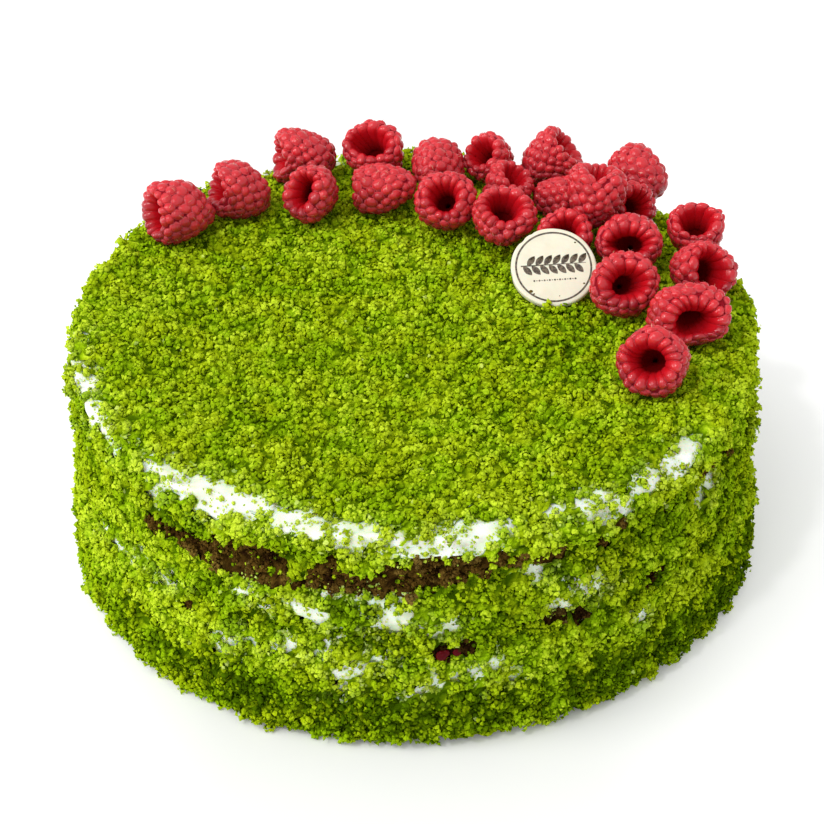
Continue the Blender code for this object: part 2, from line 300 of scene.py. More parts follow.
@dataclass
class NodeSheet:
    """A node tree under construction, with short calls for the nodes that these materials use."""

    tree: Tree

    def add(self, kind: str, **settings: object) -> Node:
        """Add a node.

        Args:
            kind: Blender's type name of the node.
            **settings: Properties to set on it.

        Returns:
            The new node.
        """
        node = self.tree.nodes.new(kind)
        for name, value in settings.items():
            setattr(node, name, value)
        return node

    def link(self, source: Socket, target: Socket) -> None:
        """Connect two sockets."""
        self.tree.links.new(source, target)

    def feed(self, value: object, target: Socket) -> None:
        """Connect a socket, or set a number or a colour.

        Args:
            value: A socket, a number or a colour.
            target: The socket that takes it.
        """
        if isinstance(value, Socket):
            self.link(value, target)
        else:
            target.default_value = (*value, 1.0) if isinstance(value, tuple) else value

    def math(self, operation: str, first: object, second: object = 0.0) -> Socket:
        """Add a math node.

        Args:
            operation: What it does.
            first: Its first socket or number.
            second: Its second socket or number.

        Returns:
            Its result.
        """
        node = self.add("ShaderNodeMath", operation=operation)
        self.feed(first, node.inputs[0])
        self.feed(second, node.inputs[1])
        return node.outputs[0]

    def mix(self, share: object, first: object, second: object) -> Socket:
        """Mix two colours.

        Args:
            share: How much of the second, a socket or a number.
            first: A socket or a colour.
            second: A socket or a colour.

        Returns:
            The mixed colour.
        """
        node = self.add("ShaderNodeMix", data_type="RGBA")
        for value, number in ((share, 0), (first, 6), (second, 7)):
            self.feed(value, node.inputs[number])
        return node.outputs[2]

    def spread(self, value: object, low: float, high: float) -> Socket:
        """Stretch low to 0 and high to 1, clamped, softly.

        Args:
            value: The socket to stretch.
            low: What becomes 0.
            high: What becomes 1.

        Returns:
            The stretched value.
        """
        node = self.add("ShaderNodeMapRange", interpolation_type="SMOOTHSTEP")
        self.feed(value, node.inputs["Value"])
        node.inputs["From Min"].default_value = low
        node.inputs["From Max"].default_value = high
        return node.outputs["Result"]

    def noise(self, place: object, scale: object, detail: float) -> Socket:
        """Add soft noise.

        Args:
            place: The socket that it is read at.
            scale: How many of its waves there are in a metre, a socket or a number.
            detail: How many finer waves it has.

        Returns:
            Its value, about 0 to 1.
        """
        node = self.add("ShaderNodeTexNoise")
        for value, name in ((place, "Vector"), (scale, "Scale"), (detail, "Detail")):
            self.feed(value, node.inputs[name])
        return node.outputs["Fac"]

    def attribute(self, name: str) -> Socket:
        """A number that the mesh's points carry."""
        return self.add("ShaderNodeAttribute", attribute_name=name).outputs["Fac"]

    def place(self) -> Socket:
        """The place on the object, in metres."""
        return self.add("ShaderNodeTexCoord").outputs["Object"]

    def use(self, group: Tree, **values: object) -> Node:
        """Place a node group.

        Args:
            group: The group.
            **values: Its inputs by name, with _ for a space.

        Returns:
            The group's node.
        """
        node = self.add("ShaderNodeGroup", node_tree=group)
        for name, value in values.items():
            self.feed(value, node.inputs[name.replace("_", " ")])
        return node


def open_group(
    name: str, inputs: dict[str, str], outputs: dict[str, str]
) -> tuple[NodeSheet, dict[str, Socket], dict[str, Socket]]:
    """Start a shader node group.

    Args:
        name: The group's name.
        inputs: Socket kinds by input name.
        outputs: Socket kinds by output name.

    Returns:
        Its sheet, its input sockets by name and its output sockets by name.
    """
    group = bpy.data.node_groups.new(name, "ShaderNodeTree")
    for side, sockets in (("INPUT", inputs), ("OUTPUT", outputs)):
        for socket, kind in sockets.items():
            group.interface.new_socket(socket, in_out=side, socket_type=kind)
    sheet = NodeSheet(group)
    entry = sheet.add("NodeGroupInput")
    leave = sheet.add("NodeGroupOutput")
    ways_in = {name: entry.outputs[name] for name in inputs}
    return sheet, ways_in, {name: leave.inputs[name] for name in outputs}


NUMBER = "NodeSocketFloat"
COLOUR = "NodeSocketColor"
VECTOR = "NodeSocketVector"


@dataclass(frozen=True)
class SharedEffects:
    """The node groups that more than one finish uses.

    Attributes:
        grain: Fine crumb, as a height and as masks of pores and crevices.
        mottle: Two colours in soft uneven patches.
    """

    grain: Tree
    mottle: Tree

    @staticmethod
    def make() -> SharedEffects:
        """Build both groups."""
        return SharedEffects(grain=SharedEffects._grain(), mottle=SharedEffects._mottle())

    @staticmethod
    def _grain() -> Tree:
        """Build the grain: small cells with soft noise between them.

        Returns:
            The group.
        """
        outputs = {"Height": NUMBER, "Pores": NUMBER, "Crevices": NUMBER}
        sheet, entry, leave = open_group("crumb_grain", {"Place": VECTOR, "Size": NUMBER}, outputs)
        scale = sheet.math("DIVIDE", 1.0, entry["Size"])
        cells = sheet.add("ShaderNodeTexVoronoi", feature="SMOOTH_F1")
        cells.inputs["Smoothness"].default_value = 0.35
        sheet.feed(entry["Place"], cells.inputs["Vector"])
        sheet.feed(scale, cells.inputs["Scale"])
        noise = sheet.noise(entry["Place"], sheet.math("MULTIPLY", scale, 0.6), 3.0)
        sheet.feed(sheet.math("SUBTRACT", noise, cells.outputs["Distance"]), leave["Height"])
        sheet.feed(sheet.spread(noise, 0.5, 0.36), leave["Pores"])
        sheet.feed(sheet.spread(cells.outputs["Distance"], 0.42, 0.78), leave["Crevices"])
        return sheet.tree

    @staticmethod
    def _mottle() -> Tree:
        """Build the patches.

        Returns:
            The group.
        """
        inputs = {"Place": VECTOR, "Size": NUMBER, "First": COLOUR, "Second": COLOUR}
        sheet, entry, leave = open_group("soft_mottle", inputs, {"Color": COLOUR, "Patches": NUMBER})
        noise = sheet.noise(entry["Place"], sheet.math("DIVIDE", 1.0, entry["Size"]), 2.0)
        patches = sheet.spread(noise, 0.36, 0.64)
        sheet.feed(sheet.mix(patches, entry["First"], entry["Second"]), leave["Color"])
        sheet.feed(patches, leave["Patches"])
        return sheet.tree


# Finishes.


def open_material(name: str, **plain: object) -> tuple[Material, NodeSheet, Node]:
    """Start a material.

    Args:
        name: The material's name.
        **plain: Plain values for the shader's sockets, with _ for a space.

    Returns:
        The material, its sheet and its Principled shader.
    """
    material = bpy.data.materials.new(name)
    material.use_nodes = True
    sheet = NodeSheet(material.node_tree)
    shader = material.node_tree.nodes["Principled BSDF"]
    for socket, value in plain.items():
        shader.inputs[socket.replace("_", " ")].default_value = value
    return material, sheet, shader


def dress(sheet: NodeSheet, shader: Node, colour: Socket, height: Socket, depth: float) -> None:
    """Give the shader colour and relief.

    Args:
        sheet: The material's sheet.
        shader: Its Principled shader.
        colour: The colour.
        height: The relief, about 0 to 1.
        depth: How far 1 stands above 0, in millimetres.
    """
    sheet.link(colour, shader.inputs["Base Color"])
    bump = sheet.add("ShaderNodeBump")
    bump.inputs["Distance"].default_value = depth * MM
    sheet.link(height, bump.inputs["Height"])
    sheet.link(bump.outputs["Normal"], shader.inputs["Normal"])


@dataclass(frozen=True)
class CrumbFinish:
    """Cake crumbs, whose points carry a tint from 0, deep, to 1, bright, and a paleness. The tint holds their
    own tone together with painted light and shade.

    Attributes:
        name: The material's name.
        deep: The colour between the crumbs, a painted shade.
        first, second: Their own colours, in patches.
        bright: The colour of raised and lit crumbs, a painted light, and of crumbs whose own tone is light.
        pale: The colour of crumbs that cream has wetted, and of single pale grains that stand for glints,
            painted highlights.
        patch_size: Size of the patches in millimetres.
        grain_size: Size of the finest grain.
        crevices: How dark its crevices are painted, a painted shade.
        relief: Its depth.
        roughness: How matt the crumbs are.
    """

    name: str
    deep: Colour
    first: Colour
    second: Colour
    bright: Colour
    pale: Colour
    patch_size: float = 11.0
    grain_size: float = 0.6
    crevices: float = 0.36
    relief: float = 0.25
    roughness: float = 0.7

    def make(self, effects: SharedEffects) -> Material:
        """Build the material.

        Args:
            effects: The shared node groups.

        Returns:
            The material.
        """
        material, sheet, shader = open_material(self.name, Roughness=self.roughness, Specular_IOR_Level=0.0)
        place = sheet.place()
        tint = sheet.attribute("tint")
        size = self.patch_size * MM
        mottle = sheet.use(effects.mottle, Place=place, Size=size, First=self.first, Second=self.second)
        # Painted light and shade: a low tint goes to the deep colour, a high one to the bright colour.
        dark = sheet.mix(sheet.spread(tint, 0.0, 0.5), self.deep, mottle.outputs["Color"])
        lit = sheet.mix(sheet.spread(tint, 0.45, 1.0), dark, self.bright)
        grain = sheet.use(effects.grain, Place=place, Size=self.grain_size * MM)
        # Painted shade: the grain's crevices are darkened towards the deep colour.
        gaps = sheet.math("MULTIPLY", grain.outputs["Crevices"], self.crevices)
        split = sheet.mix(gaps, lit, self.deep)
        colour = sheet.mix(sheet.attribute("pale"), split, self.pale)
        dress(sheet, shader, colour, grain.outputs["Height"], self.relief)
        return material


@dataclass(frozen=True)
class CreamFinish:
    """Whipped cream: white, slightly moist, with soft smears, under dust where its points say so.

    Attributes:
        light, shade: Its colours, in patches.
        dusted: The colour of the crumbs that dust it.
        between: The colour between those crumbs, a painted shade.
        smear_size: Size of the patches in millimetres.
        speck_size: Size of the crumbs.
        ripple_size: Size of the cream's own relief.
        relief: Its depth.
        crumb_relief: How many times as deep the crumbs are.
    """

    light: Colour = (0.83, 0.85, 0.79)
    shade: Colour = (0.74, 0.80, 0.60)
    dusted: Colour = (0.50, 0.63, 0.07)
    between: Colour = (0.11, 0.19, 0.004)
    smear_size: float = 6.0
    speck_size: float = 1.3
    ripple_size: float = 2.4
    relief: float = 0.12
    crumb_relief: float = 4.0

    def make(self, effects: SharedEffects) -> Material:
        """Build the material.

        Args:
            effects: The shared node groups.

        Returns:
            The material.
        """
        plain = {"Roughness": 0.42, "Subsurface_Weight": 0.3, "Subsurface_Scale": 0.004}
        material, sheet, shader = open_material("cream", **plain)
        place = sheet.place()
        size = self.smear_size * MM
        mottle = sheet.use(effects.mottle, Place=place, Size=size, First=self.light, Second=self.shade)
        specks = sheet.use(effects.grain, Place=place, Size=self.speck_size * MM)
        raised = sheet.math("MULTIPLY", specks.outputs["Height"], 0.9)
        dust = sheet.math("ADD", sheet.attribute("dust"), raised)
        covered = sheet.spread(dust, 0.55, 1.0)
        # Painted shade: the crevices between the dusting crumbs take the dark colour.
        crumbs = sheet.mix(specks.outputs["Crevices"], self.dusted, self.between)
        shown = sheet.mix(covered, mottle.outputs["Color"], crumbs)
        fine = sheet.use(effects.grain, Place=place, Size=self.ripple_size * MM)
        lumps = sheet.math("MULTIPLY", covered, specks.outputs["Height"])
        deep = sheet.math("MULTIPLY", lumps, self.crumb_relief)
        dress(sheet, shader, shown, sheet.math("ADD", fine.outputs["Height"], deep), self.relief)
        return material


@dataclass(frozen=True)
class SpongeFinish:
    """Brown sponge with open pores.

    Attributes:
        crumb: The sponge's colour.
        pore: The colour in its pores.
        pore_size: Their size in millimetres.
        relief: Their depth.
    """

    crumb: Colour = (0.095, 0.050, 0.010)
    pore: Colour = (0.020, 0.009, 0.002)
    pore_size: float = 1.1
    relief: float = 0.8

    def make(self, effects: SharedEffects) -> Material:
        """Build the material.

        Args:
            effects: The shared node groups.

        Returns:
            The material.
        """
        material, sheet, shader = open_material("sponge", Roughness=0.85, Specular_IOR_Level=0.25)
        grain = sheet.use(effects.grain, Place=sheet.place(), Size=self.pore_size * MM)
        colour = sheet.mix(grain.outputs["Pores"], self.crumb, self.pore)
        dress(sheet, shader, colour, grain.outputs["Height"], self.relief)
        return material


@dataclass(frozen=True)
class DrupeletFinish:
    """A raspberry's flesh: translucent drupelets with light outlines.

    Its points carry a crown, 0 in the creases and 1 on top, how far inside they lie, and how dark they are,
    from their ripeness and from a painted shade on the fruit's underside.

    Attributes:
        name: The material's name.
        crease: The colour between the drupelets, a painted shade.
        edge: The colour of their outlines.
        skin: The colour of a pale one.
        ripe: The colour of a dark drupelet, and the painted shade on the fruit's underside.
        mouth: The colour at the hollow's rim.
        bottom: The colour at its bottom, a painted shade deep in the hollow.
        coat, coat_roughness: How strong and how soft the gloss is.
    """

    name: str = "raspberry_flesh"
    crease: Colour = (0.26, 0.008, 0.016)
    edge: Colour = (0.70, 0.135, 0.155)
    skin: Colour = (0.60, 0.022, 0.032)
    ripe: Colour = (0.19, 0.005, 0.014)
    mouth: Colour = (0.48, 0.006, 0.012)
    bottom: Colour = (0.12, 0.0015, 0.002)
    coat: float = 1.0
    coat_roughness: float = 0.12

    def make(self, effects: SharedEffects) -> Material:
        """Build the material.

        Args:
            effects: The shared node groups.

        Returns:
            The material.
        """
        material, sheet, shader = open_material(
            self.name,
            Subsurface_Weight=0.3,
            Subsurface_Radius=(1.0, 0.05, 0.04),
            Subsurface_Scale=0.0014,
            Specular_IOR_Level=0.0,
            Roughness=0.5,
            Coat_Roughness=self.coat_roughness,
        )
        crown = sheet.attribute("crown")
        inner = sheet.attribute("inner")
        # The body darkens with each drupelet's ripeness and with the painted shade on the fruit's underside.
        body = sheet.mix(sheet.attribute("ripe"), self.skin, self.ripe)
        # Painted shade: the hollow darkens from its rim to its bottom.
        hollow = sheet.mix(sheet.spread(inner, 0.35, 1.0), self.mouth, self.bottom)
        body = sheet.mix(sheet.spread(inner, 0.02, 0.3), body, hollow)
        away = sheet.math("SUBTRACT", 1.0, sheet.spread(inner, 0.0, 0.4))
        rise = sheet.math("SUBTRACT", 1.0, sheet.spread(crown, 0.36, 0.60))
        outline = sheet.math("MULTIPLY", sheet.math("MULTIPLY", rise, away), 0.5)
        shown = sheet.mix(outline, body, self.edge)
        # Painted shade: the creases between the drupelets take the crease colour.
        colour = sheet.mix(sheet.spread(crown, 0.05, 0.36), self.crease, shown)
        outside = sheet.math("MULTIPLY", sheet.spread(crown, 0.3, 0.8), away)
        sheet.link(sheet.math("MULTIPLY", outside, self.coat), shader.inputs["Coat Weight"])
        fine = sheet.use(effects.grain, Place=sheet.place(), Size=0.9 * MM)
        dress(sheet, shader, colour, fine.outputs["Height"], 0.06)
        return material


@dataclass(frozen=True)
class PatchyFinish:
    """A plain finish in two colours: a raspberry's dried hairs, or worn edible ink.

    Attributes:
        name: The material's name.
        first, second: Its colours, in patches.
        patch_size: Size of the patches in millimetres.
    """

    name: str
    first: Colour
    second: Colour
    patch_size: float

    def make(self, effects: SharedEffects) -> Material:
        """Build the material.

        Args:
            effects: The shared node groups.

        Returns:
            The material.
        """
        material, sheet, shader = open_material(self.name, Roughness=0.5)
        place, size = sheet.place(), self.patch_size * MM
        mottle = sheet.use(effects.mottle, Place=place, Size=size, First=self.first, Second=self.second)
        sheet.link(mottle.outputs["Color"], shader.inputs["Base Color"])
        return material


@dataclass(frozen=True)
class ChocolateFinish:
    """White chocolate: ivory, satin, with faint scuffs.

    Attributes:
        face: Its colour.
        scuff: The colour of the scuffs.
        scuffed: How strongly they show.
    """

    face: Colour = (0.78, 0.74, 0.59)
    scuff: Colour = (0.70, 0.64, 0.48)
    scuffed: float = 0.35

    def make(self, effects: SharedEffects) -> Material:
        """Build the material.

        Args:
            effects: The shared node groups.

        Returns:
            The material.
        """
        plain = {"Roughness": 0.38, "Subsurface_Weight": 0.15, "Subsurface_Scale": 0.002}
        material, sheet, shader = open_material("white_chocolate", **plain)
        place = sheet.place()
        mottle = sheet.use(effects.mottle, Place=place, Size=5.0 * MM, First=self.face, Second=self.scuff)
        share = sheet.math("MULTIPLY", mottle.outputs["Patches"], self.scuffed)
        colour = sheet.mix(share, self.face, mottle.outputs["Color"])
        fine = sheet.use(effects.grain, Place=place, Size=1.5 * MM)
        dress(sheet, shader, colour, fine.outputs["Height"], 0.03)
        return material


# The coat of crumbs.


MM_PER_DEGREE = 1.73
# Streaks were traced this much too wide, in millimetres.
STREAK_TRIM = 0.45
# Above this height a place belongs to the top.
TOP_LEVEL = 70.0
# Beyond this radius it belongs to the side.
SIDE_RADIUS = 92.0
FILL_ROUNDS = 240
GRAIN_SIDES = 5


@dataclass(frozen=True)
class Streak:
    """A streak where the crumbs are thin or missing.

    Attributes:
        bareness: From 0, fully covered, to 1, bare.
        stations: Azimuth, lowest and highest place at several azimuths along the streak. A place is a
            height, or above the edge a height continued by 0.75 for each millimetre inwards.
    """

    bareness: float
    stations: list[tuple[float, float, float]]

    def cover(self, azimuth: Array, climb: Array, fade: float) -> Array:
        """Work out how bare the streak makes some places.

        Args:
            azimuth: Their azimuths in degrees.
            climb: Their heights, continued over the edge.
            fade: How far the streak's edge fades out, in millimetres.

        Returns:
            Bareness from 0 to 1.
        """
        table = np.array(self.stations)
        middle = table[:, 0].mean()
        across = (azimuth - middle + 180.0) % 360.0 - 180.0 + middle
        low = np.interp(across, table[:, 0], table[:, 1])
        high = np.interp(across, table[:, 0], table[:, 2])
        beside = np.maximum(table[0, 0] - across, across - table[-1, 0]) * MM_PER_DEGREE + STREAK_TRIM
        beyond = np.maximum(low - climb, climb - high) + STREAK_TRIM
        far = np.hypot(np.maximum(beside, 0.0), np.maximum(beyond, 0.0))
        return self.bareness * np.clip(1.0 - far / fade, 0.0, 1.0)


# Streaks that show cream: how bare each one is, and its stations.
CREAM_STREAKS = tuple(
    Streak(bareness, stations)
    for bareness, *stations in (
        # Cream under the top edge.
        (1.0, (-138.5, 73.2, 73.8), (-135, 72.8, 74.0), (-133, 70.5, 73.5), (-130, 69.5, 74.2),
         (-128.6, 70.5, 74.8), (-127.4, 74.2, 75.2), (-126.4, 68, 75.2), (-124.5, 67.5, 76.2),
         (-123, 65.8, 76), (-122, 68, 75.8), (-121, 72.2, 75.6), (-118.5, 71.5, 75.4), (-116.5, 71.4, 75.2),
         (-115, 73.4, 75.2), (-110, 73, 75.3), (-107, 72.8, 75), (-105, 72.6, 74.4), (-103.8, 73, 73.5)),
        (0.9, (-138.5, 61, 62.5), (-137, 62.5, 64.5), (-135.5, 64.5, 67.5), (-134.5, 66.5, 70),
         (-133.6, 69, 72)),
        (0.6, (-127.5, 63.8, 67), (-126, 64, 69), (-124.8, 64.5, 68)),
        (0.62, (-103, 71, 73.5), (-101.4, 69, 75.8), (-100.2, 68, 75.8), (-98.5, 69.5, 75),
         (-96.5, 70, 74.5)),
        (0.9, (-98.6, 74, 75.2), (-97, 74, 75.4), (-95.2, 74.2, 75)),
        (0.6, (-95, 70.5, 72), (-93, 71, 74), (-91.5, 70.5, 73.8)),
        (1.0, (-91, 70, 72.8), (-89, 69.8, 72.8), (-87, 70.2, 73), (-85, 70.2, 73.8), (-83.5, 70.4, 74.4),
         (-81.5, 69.4, 74.8), (-80, 69.2, 75), (-79, 72.5, 75), (-77.4, 74, 75)),
        (0.8, (-88, 75.4, 76), (-84, 75.4, 76), (-79, 75.2, 76), (-74.5, 75, 76.2)),
        (0.8, (-67.5, 75, 76.4), (-66, 75.2, 76.8), (-64.5, 75.2, 76.2)),
        (0.75, (-62, 74.8, 77), (-60.5, 74.5, 78), (-58.5, 74.8, 78), (-56.5, 75.2, 77)),
        (0.8, (-61.4, 72.8, 74.2), (-60.2, 71.6, 73.8), (-58.6, 70.4, 73.2), (-57.4, 69.2, 71.8)),
        (0.74, (-57, 71.6, 73.6), (-55.6, 70, 73.4), (-54.6, 69.4, 72.6)),
        (0.78, (-52.6, 74, 75), (-50, 73.6, 75.2), (-47.5, 74, 75.3), (-45.6, 74.2, 75.2)),
        (0.86, (-45.2, 73.6, 74.5), (-43.5, 73, 74.6), (-42, 72.6, 74.8), (-40, 72.4, 75), (-38, 72.6, 75.2),
         (-36.6, 73, 75.2), (-35.2, 74.2, 75)),
        (0.9, (-178, 70.5, 73.4), (-176, 69.5, 73.4), (-173, 70.5, 72.8)),
        (0.9, (-164.5, 72, 73.8), (-162, 72, 73.6), (-159, 71.6, 73.4), (-156.5, 70.4, 73),
         (-154.4, 69, 72.6)),
        (0.8, (-162, 60.4, 63), (-159, 62, 65), (-156.6, 64.4, 67.4), (-154.6, 67, 70)),
        (0.7, (-179, 53, 56), (-176, 55, 58.6), (-172.5, 58, 61), (-170, 60.4, 62.6)),
        (0.75, (-173, 71, 73), (-169, 71.6, 73.2), (-164.5, 72, 73.4)),
        (0.75, (-153.6, 71.4, 73), (-151, 71.6, 73), (-148.4, 71.4, 73.4)),
        (0.8, (-146.6, 68, 70), (-145.4, 69, 70.8)),
        # The middle cream.
        (0.77, (-118.4, 45.2, 46.8), (-117.4, 46, 48.8), (-116.4, 47, 50), (-115.4, 48.6, 50.6)),
        (0.55, (-114.8, 40, 42), (-114, 40.8, 43), (-113.4, 41.6, 43)),
        (1.0, (-109.2, 46.6, 48.4), (-108.2, 45, 48), (-107.6, 42.6, 46.2), (-106.6, 41.6, 45.4),
         (-105.5, 41.4, 46.8), (-104.8, 42.6, 45.6), (-104.1, 43, 44)),
        (0.7, (-104.6, 51, 52), (-103, 51.6, 52.8), (-101.4, 52.4, 53.6)),
        (0.5, (-98.6, 51.8, 53.2), (-97, 51, 54.8), (-94.5, 51.5, 54.6), (-92, 51.6, 54.6),
         (-90.6, 51.4, 54.2)),
        (0.86, (-95.8, 42, 46), (-95, 41.6, 46.4), (-94.4, 45.6, 50.8), (-93.4, 43.2, 51), (-92.2, 42.8, 51),
         (-91.4, 43.6, 50), (-90.6, 47, 50), (-89.9, 48, 49.5)),
        (0.6, (-88.8, 43, 46), (-88, 43, 46.2)),
        (0.65, (-87.2, 40.6, 43.4), (-86.2, 40, 42.6)),
        (0.86, (-84.7, 43.4, 46), (-84, 42, 46), (-83.4, 42.6, 45)),
        (0.74, (-72, 59, 60.4), (-71, 57.6, 60), (-70, 56.4, 59.6), (-68.8, 57.6, 59)),
        (0.86, (-67.4, 43.4, 45.6), (-66.4, 42.2, 45.2), (-65.4, 41.6, 44.6), (-64.8, 41.5, 43)),
        (0.72, (-63.6, 48.8, 51), (-62.4, 47.8, 50.4), (-61.4, 45.4, 49.2), (-60, 46.8, 49.4),
         (-58.8, 45.8, 48.4), (-57, 45.4, 47)),
        (0.69, (-61.9, 43.4, 46), (-61, 43.4, 45.6)),
        (1.0, (-173.4, 42.6, 46), (-171.4, 42.4, 48), (-169, 43.6, 49.8), (-166.6, 46, 50)),
        (0.85, (-36, 54.3, 56.4), (-34.6, 54.2, 56), (-33.9, 54.6, 56.2)),
        (0.8, (-32, 54.4, 56.4), (-30, 54.4, 56)),
        # The lower cream.
        (0.82, (-155, 34.2, 35.4), (-153.4, 34, 36.2), (-151.4, 34.4, 36.6), (-150, 34.8, 35.6)),
        (0.58, (-149.6, 33.4, 35), (-145, 33.2, 35)),
        (0.82, (-144, 32.8, 33.8), (-142.8, 33.6, 35.6), (-141.6, 35, 37)),
        (0.48, (-137.4, 36.4, 38.4), (-135, 35, 36.6), (-133, 36, 39.8), (-131.8, 36.6, 39.8),
         (-130.6, 36, 37.6)),
        (0.77, (-122.8, 23.2, 24.6), (-121.8, 23, 24.4), (-120.8, 23.2, 24)),
        (0.5, (-123, 27.4, 29), (-122, 26.6, 29), (-120.8, 27.6, 29.4)),
        (0.42, (-120.6, 27, 29.6), (-118.6, 27.4, 30.2), (-116.4, 26.6, 29)),
        (0.7, (-114.4, 27.6, 28.6), (-113.2, 28, 30), (-112, 29.4, 31.6)),
        (0.74, (-110.5, 30.4, 32), (-109.9, 30.4, 33), (-109.3, 30.8, 32)),
        (0.66, (-105.8, 30.2, 31.2), (-104.4, 30.2, 31.8), (-103.2, 31, 32.3)),
        (0.45, (-105, 33.4, 34.6), (-103, 34.6, 35.4)),
        (0.76, (-102.2, 24, 25.8), (-101, 25, 27.6), (-100, 26.4, 29.4), (-98.6, 27, 29.4),
         (-97.7, 27.8, 29)),
        (0.58, (-102.6, 20.6, 23), (-101, 20.8, 23), (-99.6, 22.6, 25)),
        (0.6, (-98, 31, 32), (-95.6, 31, 32), (-93, 31, 32.6)),
        (0.46, (-89.2, 20, 25), (-88.4, 20, 24.6)),
        (0.65, (-86.6, 22.4, 25), (-85.4, 22, 24)),
        (0.77, (-83.3, 25.4, 27.2), (-82.4, 25.4, 27)),
        (0.72, (-80.9, 27, 29.2), (-80.2, 25.4, 29), (-79.6, 22.8, 28), (-78.9, 22.8, 25)),
        (0.48, (-78.6, 28.8, 29.8), (-76, 28.6, 29.6)),
        (0.58, (-77.2, 25, 27), (-76.4, 25.4, 27)),
        (0.62, (-74.2, 22.4, 25), (-73.2, 22.8, 25)),
        (0.82, (-50.3, 26.8, 28.2), (-49.4, 26.4, 28.6), (-48.9, 27, 28)),
        # The far side, in the same manner.
        (0.95, (42, 73, 74.6), (47, 71.8, 75), (52, 71.2, 75.2), (57, 72.6, 75), (61, 73.6, 74.6)),
        (0.9, (104, 73.4, 75), (109, 71.6, 75.2), (116, 71.2, 75), (122, 72.8, 74.6)),
        (1.0, (137.4, 45.4, 48), (140, 44.6, 49.4), (142.6, 46, 48.6)),
        (0.95, (57, 26.6, 28.2), (60, 25.8, 30.2), (63.4, 27, 30)),
        (0.65, (96, 24, 27), (103, 25, 29), (110, 27, 30.4)),
        (0.7, (30, 44.6, 47), (34, 45.6, 49), (38, 47, 49.4)),
        (0.8, (-12, 46, 48), (-9, 45, 49), (-6, 46.4, 48.4)),
        (0.7, (168, 27, 30), (172, 26, 30.6), (175, 28, 30)),
    )
)
